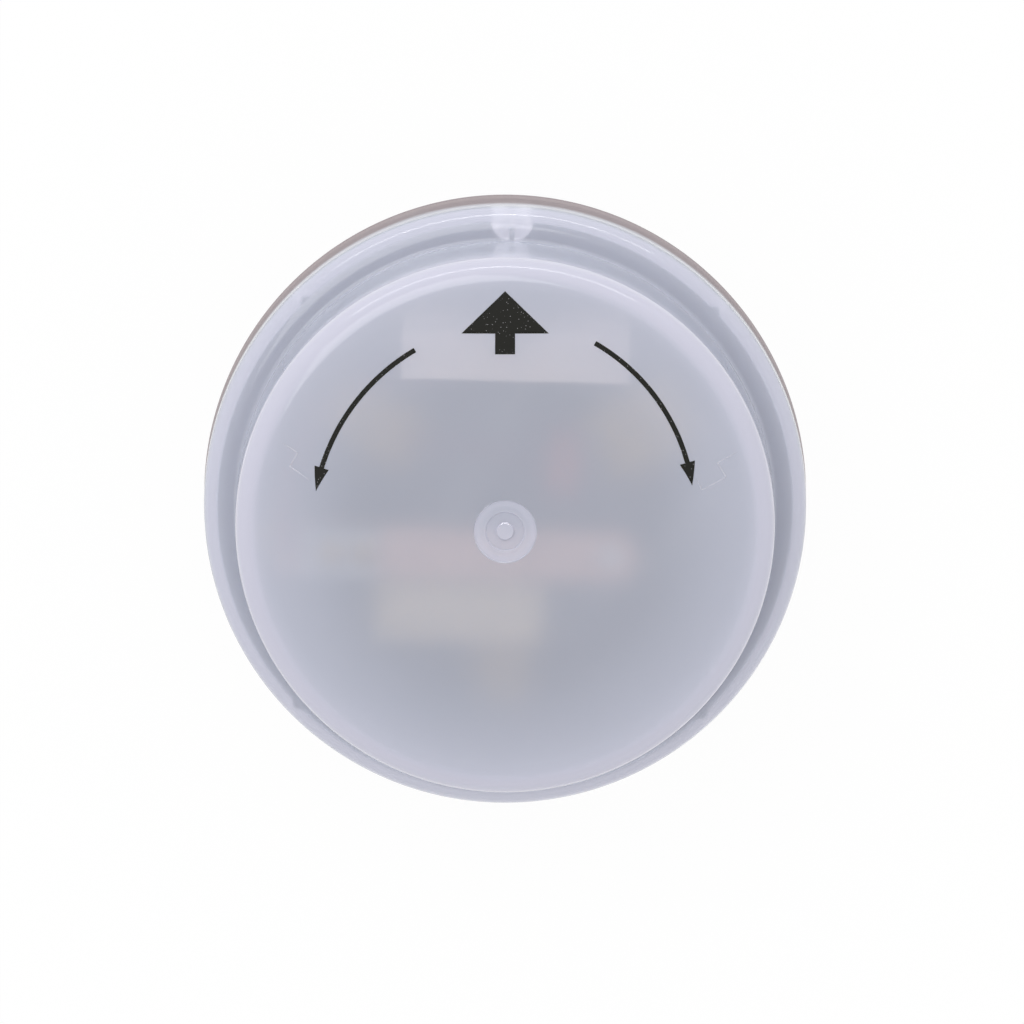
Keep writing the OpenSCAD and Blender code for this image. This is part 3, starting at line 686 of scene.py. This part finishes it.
    def outer_section(self) -> np.ndarray:
        """The outer half section, from the gate's nub down to the skirt's lower edge.

        Returns:
            Points of radius and height.
        """
        foot_r = self.corner_r - self.ledge_w
        foot = (foot_r + self.foot_fillet, self.ledge_z + self.foot_fillet)
        corner = (self.corner_r - self.skirt_round, self.corner_z)
        skirt_r = self.corner_r + self.skirt_flare
        lip = (skirt_r - self.lip_round, self.skirt_lift + self.lip_round)
        return np.vstack([
            self.gate_section(),
            self.crown(0.0, self.cap_round, self.gate_d / 2 + self.gate_ease, self.dome_steps),
            straight((self.cap_r, self.face_z - self.cap_round), (foot_r, foot[1]), self.wall_steps)[1:-1],
            arc(foot, self.foot_fillet, 180.0, 270.0, self.fillet_steps),
            straight((foot[0], self.ledge_z), (corner[0], self.ledge_z), self.ledge_steps)[1:-1],
            arc(corner, self.skirt_round, 90.0, 0.0, self.corner_steps),
            straight((self.corner_r, self.corner_z), (skirt_r, lip[1]), self.wall_steps)[1:],
            arc(lip, self.lip_round, 0.0, -90.0, self.inner_steps)[1:],
        ])

    def inner_section(self) -> np.ndarray:
        """The inner half section, from the mouth's lower edge up to the middle of the ceiling.

        Returns:
            Points of radius and height.
        """
        inside_r, inside_z = self.corner_r - self.wall, self.ledge_z - self.wall
        corner = (inside_r - self.skirt_inner_round, inside_z - self.skirt_inner_round)
        share = (corner[1] - self.base_top) / (corner[1] - self.skirt_lift)
        shoulder_r = inside_r + self.skirt_flare * share
        foot_r = self.corner_r - self.ledge_w - self.wall
        mouth, base = self.mouth_r, self.base_z
        bead, key = mouth - self.bead_w, base + self.key_lift
        return np.vstack([
            [(mouth, self.skirt_lift), (mouth, base - self.bead_h), (bead, base - self.bead_h / 3)],
            [(bead, base), (mouth, base), (mouth, key - HAIR)],
            straight((mouth, key), (mouth, self.base_top), 3),
            straight((shoulder_r, self.base_top), (inside_r, corner[1]), self.fillet_steps),
            arc(corner, self.skirt_inner_round, 0.0, 90.0, self.inner_steps)[1:],
            straight((corner[0], inside_z), (foot_r, inside_z), self.inner_steps)[1:],
            self.crown(self.wall, self.cap_inner_round, self.ceiling_hub_r, self.wall_steps)[::-1],
        ])

    def angles(self) -> np.ndarray:
        """Directions of the rings' points, close together at the key and the notches.

        Returns:
            Sorted angles in radians.
        """
        widths = np.array([self.key_w, self.key_slot_w, self.notch_w])
        half_key, half_slot, half_notch = np.arcsin(widths / 2 / self.key_y)
        key = QUARTER + half_key * np.sin(np.linspace(-QUARTER, QUARTER, self.key_steps))
        beside = np.array([-self.key_slot_edge, self.key_slot_edge])
        slot = QUARTER + half_slot * np.concatenate([beside - 1, beside + 1])
        middles = QUARTER / 2 + QUARTER * np.arange(4)
        notches = (middles[:, None] + half_notch * np.linspace(-1, 1, 5)).ravel()
        even = np.linspace(0, 2 * math.pi, self.around, endpoint=False)
        clear = even[np.abs(even - QUARTER) > half_key]
        return np.unique(np.concatenate([clear, key, slot, notches]))

    def key_radius(self, turn: np.ndarray) -> np.ndarray:
        """Distance from the axis to the key's near side in each direction, far away beside the key.

        A ray at an angle t from north meets the key's circle, of centre distance c and radius k, at
        c cos t - sqrt(k^2 - c^2 sin^2 t). In the relief slot it goes on to the slot's floor.

        Args:
            turn: angles from north in radians.

        Returns:
            The distance in each direction.
        """
        across = self.key_y * np.sin(turn)
        half = self.key_w / 2
        hit = np.abs(across) < half
        near = self.key_y * np.cos(turn) - np.sqrt(np.where(hit, half**2 - across**2, 0.0))
        slot_floor = self.key_y - half + self.key_slot_d
        near = np.where(np.abs(across) < self.key_slot_w / 2, np.maximum(near, slot_floor), near)
        return np.where(hit & (np.cos(turn) > 0), near, 2 * self.corner_r)

    def notch_depth(self, turn: np.ndarray) -> np.ndarray:
        """Depth of the four V notches in each direction, falling straight from their middles to 0."""
        from_notch = np.abs(turn % QUARTER - QUARTER / 2)
        return np.clip(1 - from_notch * self.key_y / (self.notch_w / 2), 0, 1) * self.notch_d

    def gate_shine(self, radius: np.ndarray) -> np.ndarray:
        """Painted glow of the gate mark, even over its disc, with painted highlight at border, step and nub.

        Args:
            radius: the points' distances from the axis.

        Returns:
            The painted glow's share at each point, 0 beside the mark.
        """
        disc = self.gate_d / 2
        border = rise(radius, disc, self.border_ramp)
        step = 1 - rise(np.abs(radius - self.gate_ring_d / 2), 0.0, self.step_ramp)
        nub = 1 - rise(radius, self.gate_nub_d / 2, self.nub_ramp)
        edge = self.gate_edge_glow * np.maximum.reduce([border, step, nub])
        return np.where(radius < disc + SLACK, self.gate_glow, 0.0) * (1 + edge)

    def painted_depth_glow(self, radius: np.ndarray, height: np.ndarray, turn: np.ndarray) -> np.ndarray:
        """Painted glow at each point, from 0 at the thinnest plastic to 1 along a standing wall.

        It follows how deep the plastic runs below the point, standing in for light scattered through
        deep plastic. Over the skirt and the key it rises in a short ramp at the inner wall, and over
        the cap's wall in a long soft one. It fades down the outer walls, to nothing beside the base,
        where the low skirt is painted brown-grey, partly the base seen through and partly painted
        shade, and rises at the gate mark.

        Args:
            radius: the points' distances from the axis.
            height: their heights.
            turn: their directions in radians.

        Returns:
            The painted glow's share at each point.
        """
        plain = COVER_PLASTIC.plain
        inner = self.corner_r - self.wall + self.notch_depth(turn)
        near = self.key_radius(turn - QUARTER)
        ring = np.maximum(rise(radius, inner, self.skirt_ramp), rise(radius, near, self.key_ramp))
        glow = np.maximum(self.skirt_glow * ring, self.ledge_glow)
        # Down the skirt the glow fades to the painted shade of the thinnest plastic, beside the base.
        skirt = plain * smooth_step(height, self.base_top + self.wall, self.corner_z + self.band_ramp[1])
        skirt = skirt + (1 - plain) * glow * rise(height, self.corner_z, self.band_ramp)
        cap_inner = self.cap_r - self.wall
        rim = rise(radius, cap_inner, self.rim_ramp)
        halo = self.rim_glow * smooth_step(radius, self.cap_r / 2, cap_inner + self.rim_full)
        cap = np.maximum.reduce([rim, halo, self.gate_shine(radius)])
        cap = cap * rise(height, self.face_z - self.cap_round, self.cap_ramp)
        cap = np.maximum(cap, self.wall_glow * (radius > self.cap_r - SLACK))
        return np.where(height > self.ledge_z + self.foot_fillet, plain + (1 - plain) * cap, skirt)

    def build(self) -> None:
        """Turn the section about the axis, with the key and notches in the skirt's inner wall.

        The surface is (r cos a, r sin a, z), where r is the section's radius, cut back to the key's near
        side and grown by the notches' depth on the stretch between the base and the ledge.
        """
        turn = self.angles()
        outer, inner = self.outer_section(), self.inner_section()
        section = np.vstack([outer, inner])
        radius = np.repeat(section[:, :1], len(turn), axis=1)
        height = np.repeat(section[:, 1:], len(turn), axis=1)
        r, z = section.T
        is_inner = np.arange(len(section)) >= len(outer)
        low, high = self.base_z + self.key_lift, self.ledge_z - self.wall + SLACK
        keyed = is_inner & (z >= low) & (z <= high) & (r > self.key_y - self.key_w)
        notched = keyed & (z >= self.base_top) & (r < self.mouth_r - SLACK)
        notched &= r > self.corner_r - self.wall - self.notch_runout
        radius[notched] += self.notch_depth(turn)
        radius[keyed] = np.minimum(radius[keyed], self.key_radius(turn - QUARTER))
        grid = np.stack([radius * np.cos(turn), radius * np.sin(turn), height], axis=-1)
        piece = skin("milky_cover", grid)
        dress(piece, COVER_PLASTIC, "cover_polypropylene", Body.HOUSING, "cover")
        piece.data.materials.append(COVER_INSIDE.material())
        strips = np.arange(len(section) - 1) >= len(outer) - 1
        inside = np.concatenate([np.repeat(strips, len(turn)), np.zeros(len(turn)), np.ones(len(turn))])
        piece.data.polygons.foreach_set("material_index", inside.astype(np.int32))
        # Paint the glow of deep plastic and the shade of the low skirt into a mesh attribute.
        depth = self.painted_depth_glow(radius, height, turn)
        depth = np.append(depth.ravel(), (depth[0, 0], depth[-1, 0])).astype(np.float32)
        piece.data.attributes.new(DEPTH_GLOW, "FLOAT", "POINT").data.foreach_set("value", depth)


@dataclass(frozen=True)
class TurnArrow:
    """A curved arrow's sizes: an arc about a centre in plan, and a head that tapers to the tip along it."""

    name: str
    centre: Pair
    radius: float
    start_deg: float
    head_deg: float
    tip_deg: float
    head_w: float
    tip_w: float = 0.03
    line_w: float = 0.58
    line_steps: int = 60


@dataclass
class FacePrint:
    """The face's printed arrows, one to the north and two along the turning directions, and faint marks."""

    cover: Cover
    ink_t: float = 0.02
    ink_lift: float = 0.006
    north_tip: float = 28.4
    north_head: float = 23.45
    north_tail: float = 21.0
    north_head_w: float = 10.3
    north_tip_w: float = 0.04
    north_shaft_w: float = 2.35
    clockwise: TurnArrow = TurnArrow("clockwise_arrow", (-1.2, 1.85), 23.6, 60.0, 15.4, 8.7, 1.85)
    counter: TurnArrow = TurnArrow("counterclockwise_arrow", (1.9, 0.2), 24.7, 120.5, 162.8, 169.4, 1.75)
    head_steps: int = 14
    shaft_steps: int = 8
    mark_w: float = 0.11
    mark_end: float = 0.15
    mark_steps: int = 16
    east_mark: tuple = ((27.47, 9.31), (25.11, 8.06), (26.17, 6.36), (23.31, 4.85), (22.58, 6.28))
    west_mark: tuple = ((-26.34, 10.4), (-24.53, 9.25), (-25.5, 7.64), (-22.91, 5.9))

    def film(self, middle: np.ndarray, side: np.ndarray, half_width: np.ndarray, across: int) -> np.ndarray:
        """A film that follows a path on the face, as wide at each point as it is told.

        The top of the film is middle + v half_width side at v from -1 to 1, raised to the face's arc.

        Args:
            middle: the path's points in plan, image right and up.
            side: the unit vectors across the path.
            half_width: half the film's width at each point.
            across: how many points across the film.

        Returns:
            The film's rings of points.
        """
        step = np.linspace(-1, 1, across)
        share = np.concatenate([step, step[::-1]])
        lift = self.ink_lift + self.ink_t * (np.arange(2 * across) < across)
        plan = middle[:, None, :] + (share[:, None] * side[:, None, :]) * half_width[:, None, None]
        turn = math.radians(TURNED_DEG)
        plan = plan @ np.array([[math.cos(turn), math.sin(turn)], [-math.sin(turn), math.cos(turn)]])
        height = self.cover.face_height(np.linalg.norm(plan, axis=-1)) + lift
        return np.concatenate([plan, height[..., None]], axis=-1)

    def north_arrow(self) -> None:
        """Print the straight arrow with a broad head that points to the north."""
        tip, base = self.north_tip, self.north_head
        head = np.linspace(tip, base, self.head_steps)
        y = np.concatenate([head, np.linspace(base - SLACK, self.north_tail, self.shaft_steps)])
        taper = np.maximum((tip - y) / (tip - base) * self.north_head_w, self.north_tip_w)
        half = np.where(y < base, self.north_shaft_w, taper) / 2
        middle = np.column_stack([np.zeros_like(y), y])
        side = np.tile([1.0, 0.0], (len(y), 1))
        piece = skin("north_arrow", self.film(middle, side, half, across=9))
        dress(piece, INK, "cover_polypropylene", Body.HOUSING)

    def turn_arrow(self, arrow: TurnArrow) -> None:
        """Print a curved arrow.

        Args:
            arrow: its sizes.
        """
        line = np.linspace(arrow.start_deg, arrow.head_deg, arrow.line_steps)
        onward = math.copysign(HAIR, arrow.tip_deg - arrow.start_deg)
        head = np.linspace(arrow.head_deg + onward, arrow.tip_deg, self.head_steps)
        taper = (arrow.tip_deg - head) / (arrow.tip_deg - arrow.head_deg)
        head_w = np.maximum(taper * arrow.head_w, arrow.tip_w)
        width = np.concatenate([np.full(len(line), arrow.line_w), head_w])
        turn = np.radians(np.concatenate([line, head]))
        side = np.column_stack([np.cos(turn), np.sin(turn)])
        grid = self.film(np.array(arrow.centre) + arrow.radius * side, side, width / 2, across=5)
        dress(skin(arrow.name, grid), INK, "cover_polypropylene", Body.HOUSING)

    def witness_lines(self) -> None:
        """Raise the two faint lines beside the curved arrows, left by an insert in the mould."""
        grids = []
        for corners in (np.array(self.east_mark), np.array(self.west_mark)):
            run = np.arange(len(corners), dtype=float)
            place = np.linspace(0, run[-1], self.mark_steps * len(run))
            middle = np.column_stack([np.interp(place, run, column) for column in corners.T])
            ahead = np.gradient(middle, axis=0)
            side = np.column_stack([-ahead[:, 1], ahead[:, 0]]) / np.linalg.norm(ahead, axis=1)[:, None]
            fade = np.clip(np.minimum(place, run[-1] - place) * 2, self.mark_end, 1)
            grids.append(self.film(middle, side, self.mark_w / 2 * fade, across=3))
        dress(skin("witness_lines", *grids), WITNESS, "cover_polypropylene", Body.HOUSING)

    def build(self) -> None:
        """Print the arrows and raise the marks."""
        self.north_arrow()
        self.turn_arrow(self.clockwise)
        self.turn_arrow(self.counter)
        self.witness_lines()


@dataclass
class Gasket:
    """The foam ring under the base, cut from sheet, with edges eased by the knife."""

    outer_r: float = 32.98
    inner_r: float = 23.0
    thick: float = 3.0
    ease: float = 0.5
    ease_steps: int = 6
    around: int = 240

    def build(self) -> None:
        """Turn a rectangle with eased corners about the axis, (r cos a, r sin a, z)."""
        low, high = self.ease, self.thick - self.ease
        out, into = self.outer_r - self.ease, self.inner_r + self.ease
        centres = ((out, high), (out, low), (into, low), (into, high))
        section = np.vstack([
            arc(centre, self.ease, 90 - 90 * i, -90 * i, self.ease_steps) for i, centre in enumerate(centres)
        ])
        turn = np.linspace(0, 2 * math.pi, self.around, endpoint=False)[:, None]
        radius, height = section[:, 0], np.tile(section[:, 1], (self.around, 1))
        grid = np.stack([radius * np.cos(turn), radius * np.sin(turn), height], axis=-1)
        dress(skin("foam_gasket", grid, loop=True), FOAM, "foam_rubber", Body.HOUSING, "gasket")


@dataclass
class BimetalLeaf:
    """The bimetal strip: clamped in its stack at one end, free to curl at the other."""

    tail_x: float = -27.77
    clamp_x: float = -15.17
    end_x: float = 16.23
    middle_y: float = -5.0
    low_z: float = 18.0
    thick: float = 0.6
    width: float = 6.0
    ease: float = 0.06
    rivets_x: Pair = (-20.97, -16.97)
    rivet_hole_r: float = 1.7
    contact_x: float = 12.83
    contact_hole_r: float = 1.02
    contact_flat: float = 3.0
    steps: int = 260
    tip_steps: int = 24

    def half(self, side: float) -> np.ndarray:
        """One half of the strip, to one side of its middle line.

        It runs along x between an inner edge, along the holes' half circles sqrt(r^2 - (x - c)^2), and an
        outer one, which closes in a half circle at the free end.

        Args:
            side: 1 for the north half and -1 for the south half.

        Returns:
            Rings of points across the half.
        """
        half_w = self.width / 2
        even = np.linspace(self.tail_x, self.end_x, self.steps)
        tip = self.end_x - half_w * (1 - np.sin(np.linspace(0, QUARTER, self.tip_steps)))
        x = np.unique(np.round(np.concatenate([even, tip]), 4))
        holes = [(c, self.rivet_hole_r) for c in self.rivets_x] + [(self.contact_x, self.contact_hole_r)]
        inner = np.max([np.sqrt(np.clip(r**2 - (x - c) ** 2, 0, None)) for c, r in holes], axis=0)
        round_x = np.clip(x - (self.end_x - half_w), 0, None)
        outer = np.maximum(np.sqrt(np.clip(half_w**2 - round_x**2, 0, None)), inner + 2 * self.ease)
        e, low, high = self.ease, self.low_z, self.low_z + self.thick
        y = np.column_stack([inner, outer - e, outer, outer, outer - e, inner])
        z = np.tile([low, low, low + e, high - e, high, high], (len(x), 1))
        return np.stack([np.tile(x[:, None], 6), self.middle_y + side * y, z], axis=-1)

    def build(self) -> None:
        """Make the strip, riding on no body, and bake its place into its mesh."""
        piece = skin("bimetal_leaf", self.half(1.0), self.half(-1.0))
        dress(piece, BIMETAL, "bimetal", None, "bimetal_strip")
        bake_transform(piece)


@dataclass
class Wiring:
    """The insulated wires between the parts: round tubes along smooth routes, by heights above the base."""

    base_top: float = BASE_TOP
    on_base: float = 0.8
    on_tag: float = 2.3
    wire_r: float = 0.7
    around: int = 16
    per_span: int = 10

    def routes(self) -> dict[str, tuple[Finish, str, tuple]]:
        """The wires' finishes, slots and routes.

        Returns:
            For each node, its finish, its slot and its points.
        """
        on_base, on_tag = self.on_base, self.on_tag
        return {
            "line_wire": (PVC_RED, "wire_red", (
                (-26.17, -5, 13.2), (-26.77, 0, 13.6), (-25.97, 5, 9.5), (-24.37, 9, 5), (-22.6, 11.6, 2.9),
                (-21, 12.2, on_tag))),
            "load_wire": (PVC_BLACK, "wire_black", (
                (-31.57, -4, 2.0), (-31.57, -10, 2.2), (-27.87, -16.09, on_base), (-21.98, -21.98, on_base),
                (-13.89, -26.12, 1.2), (-7, -25.6, on_tag), (-1, -24, on_tag))),
            "cell_wire": (PVC_RED, "wire_red", (
                (-1.9, 18.6, on_base), (-5, 16.6, on_base), (-10, 15.4, on_base), (-15.4, 15.2, on_tag),
                (-19.4, 13, on_tag))),
            "heater_wire": (PVC_WHITE, "wire_white", (
                (2.2, 17.6, on_base), (1, 13, on_base), (-2, 6, on_base), (-7, -2, on_base),
                (-12, -8.4, on_base), (-16.8, -11.8, on_base))),
            "neutral_wire": (PVC_WHITE, "wire_white", (
                (8, -11.8, on_base), (13, -10, on_base), (20, -5, on_base), (25, 2, on_base), (25.4, 8, 1.7),
                (22.6, 11.8, on_tag))),
            "surge_wire": (PVC_RED, "wire_red", (
                (6, 3.4, on_base), (2.4, 4.4, 1.8), (-1.6, 6.4, 2.7), (-6, 7, 2.4), (-10, 7, 2.6),
                (-13.4, 7.8, on_tag))),
        }

    def path(self, route: np.ndarray) -> np.ndarray:
        """A smooth curve through the route's points by the Catmull-Rom rule.

        Args:
            route: the points to pass.

        Returns:
            Points along the curve.
        """
        ends = np.vstack([route[:1], route, route[-1:]])
        p0, p1, p2, p3 = (ends[i:len(ends) - 3 + i, None, :] for i in range(4))
        t = np.linspace(0, 1, self.per_span, endpoint=False)[None, :, None]
        square, cube = 2 * p0 - 5 * p1 + 4 * p2 - p3, 3 * p1 - p0 - 3 * p2 + p3
        curve = 2 * p1 + (p2 - p0) * t + square * t**2 + cube * t**3
        return np.vstack([curve.reshape(-1, 3) / 2, route[-1:]])

    def build(self) -> None:
        """Sweep a circle along each route, path + r (cos a side + sin a up)."""
        turn = np.linspace(0, 2 * math.pi, self.around, endpoint=False)[None, :, None]
        for node, (finish, slot, points) in self.routes().items():
            path = self.path(np.array(points, float) + (0, 0, self.base_top))
            ahead = np.gradient(path, axis=0)
            ahead /= np.linalg.norm(ahead, axis=1)[:, None]
            side = np.cross([0.0, 0.0, 1.0], ahead)
            side /= np.linalg.norm(side, axis=1)[:, None]
            up = np.cross(ahead, side)
            grid = path[:, None] + self.wire_r * (np.cos(turn) * side[:, None] + np.sin(turn) * up[:, None])
            dress(skin(f"{node}_tube", grid), finish, slot, Body.HOUSING, node)


@dataclass(frozen=True)
class Lamp:
    """A rectangular lamp that faces the object: its place and sides in metres, and its power in watts."""

    name: str
    place: tuple[float, float, float]
    sides: Pair
    watts: float

    def build(self) -> None:
        """Set up the lamp."""
        data = bpy.data.lights.new(self.name, "AREA")
        data.shape = "RECTANGLE"
        data.size, data.size_y = self.sides
        data.energy = self.watts
        lamp = add_object(self.name, data)
        lamp.location = self.place
        lamp.rotation_euler = Vector(self.place).to_track_quat("Z", "Y").to_euler()


@dataclass
class Studio:
    """The pale floor, the soft lights and the camera."""

    floor_z: float = -16.5
    floor_half: float = 3000.0
    rim_z: float = 12.0
    distance: float = 600.0
    tilt_deg: float = 7.62
    focal_px: float = 4883.0
    frame_px: float = 1024.0
    sensor_mm: float = 36.0
    sight_m: float = 10.0
    rim_px: Pair = (505.1, 506.3)
    horizon: float = 1.2
    zenith: float = 0.74
    white_share: float = 0.96
    soft_box: Lamp = Lamp("soft_box", (-0.25, 0.4, 0.85), (0.6, 0.6), 2.2)
    low_strip: Lamp = Lamp("low_strip", (-0.1, 1.2, 0.2), (1.8, 0.05), 3.2)

    def camera(self) -> None:
        """Place the camera where the photograph was taken, on the north side and almost overhead."""
        data = bpy.data.cameras.new("photo_camera")
        data.sensor_width = self.sensor_mm
        data.lens = self.focal_px / self.frame_px * self.sensor_mm
        data.shift_x = (self.frame_px / 2 - self.rim_px[0]) / self.frame_px
        data.shift_y = (self.rim_px[1] - self.frame_px / 2) / self.frame_px
        data.clip_end = self.sight_m
        tilt, turn = math.radians(self.tilt_deg), math.radians(TURNED_DEG)
        north, above = self.distance * math.sin(tilt), self.distance * math.cos(tilt)
        place = (-north * math.sin(turn), north * math.cos(turn), above + self.rim_z)
        camera = add_object("photo_camera", data)
        camera.location = np.array(place) * MM
        camera.rotation_mode = "XYZ"
        camera.rotation_euler = (-tilt, 0.0, turn)
        bpy.context.scene.camera = camera

    def floor(self) -> None:
        """Lay the white floor, which shows white to the camera and keeps a faint shadow."""
        half = self.floor_half
        mesh = bpy.data.meshes.new("floor")
        corners = [(-half, -half), (half, -half), (half, half), (-half, half)]
        mesh.from_pydata([(x * MM, y * MM, self.floor_z * MM) for x, y in corners], [], [(0, 1, 2, 3)])
        plane = add_object("floor", mesh)
        white = bpy.data.materials.new("white_paper")
        white.use_nodes = True
        tree = white.node_tree
        tree.nodes.clear()
        paper = add_node(tree, "BsdfDiffuse", {"Color": linear("#f4f4f4")})
        glow = add_node(tree, "Emission", {"Color": linear("#ffffff"), "Strength": 1.0})
        path = add_node(tree, "LightPath")
        shown = path.outputs["Is Camera Ray"]
        for ray in ("Is Glossy Ray", "Is Transmission Ray"):
            shown = add_node(tree, "Math", {0: shown, 1: path.outputs[ray]}, operation="MAXIMUM").outputs[0]
        share = add_node(tree, "Math", {0: shown, 1: self.white_share}, operation="MULTIPLY").outputs[0]
        mixed = add_node(tree, "MixShader", {0: share, 1: paper.outputs[0], 2: glow.outputs[0]})
        add_node(tree, "OutputMaterial", {"Surface": mixed.outputs[0]})
        mesh.materials.append(white)

    def light(self) -> None:
        """Light the object by a sky that darkens overhead, a soft lamp and a low strip."""
        world = bpy.data.worlds.new("white_tent")
        bpy.context.scene.world = world
        world.use_nodes = True
        tree = world.node_tree
        ray = add_node(tree, "TexCoord").outputs["Generated"]
        height = add_node(tree, "SeparateXYZ", {0: ray}).outputs["Z"]
        level = add_node(tree, "MapRange", {"Value": height, "To Min": self.horizon, "To Max": self.zenith})
        sky = {"Color": linear("#ffffff"), "Strength": level.outputs["Result"]}
        set_inputs(tree, tree.nodes["Background"], sky)
        self.soft_box.build()
        self.low_strip.build()

    def build(self) -> None:
        """Set the stage."""
        bpy.context.scene.view_settings.view_transform = "Standard"
        self.camera()
        self.floor()
        self.light()


def dress_nodes() -> None:
    """Give each carried-over node its finish."""
    for finish, names in NODE_FINISHES.items():
        made = finish.material()
        for name in names:
            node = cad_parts[name]
            node.data.materials.clear()
            node.data.materials.append(made)
            LOG.info("%s: %s", name, finish.name)


def main() -> None:
    """Build the stage and the pieces in order."""
    logging.basicConfig(level=logging.INFO, format="%(name)s %(message)s")
    Studio().build()
    dress_nodes()
    cover = Cover()
    cover.build()
    FacePrint(cover).build()
    Gasket().build()
    BimetalLeaf().build()
    Wiring().build()


if __name__ == "__main__":
    main()
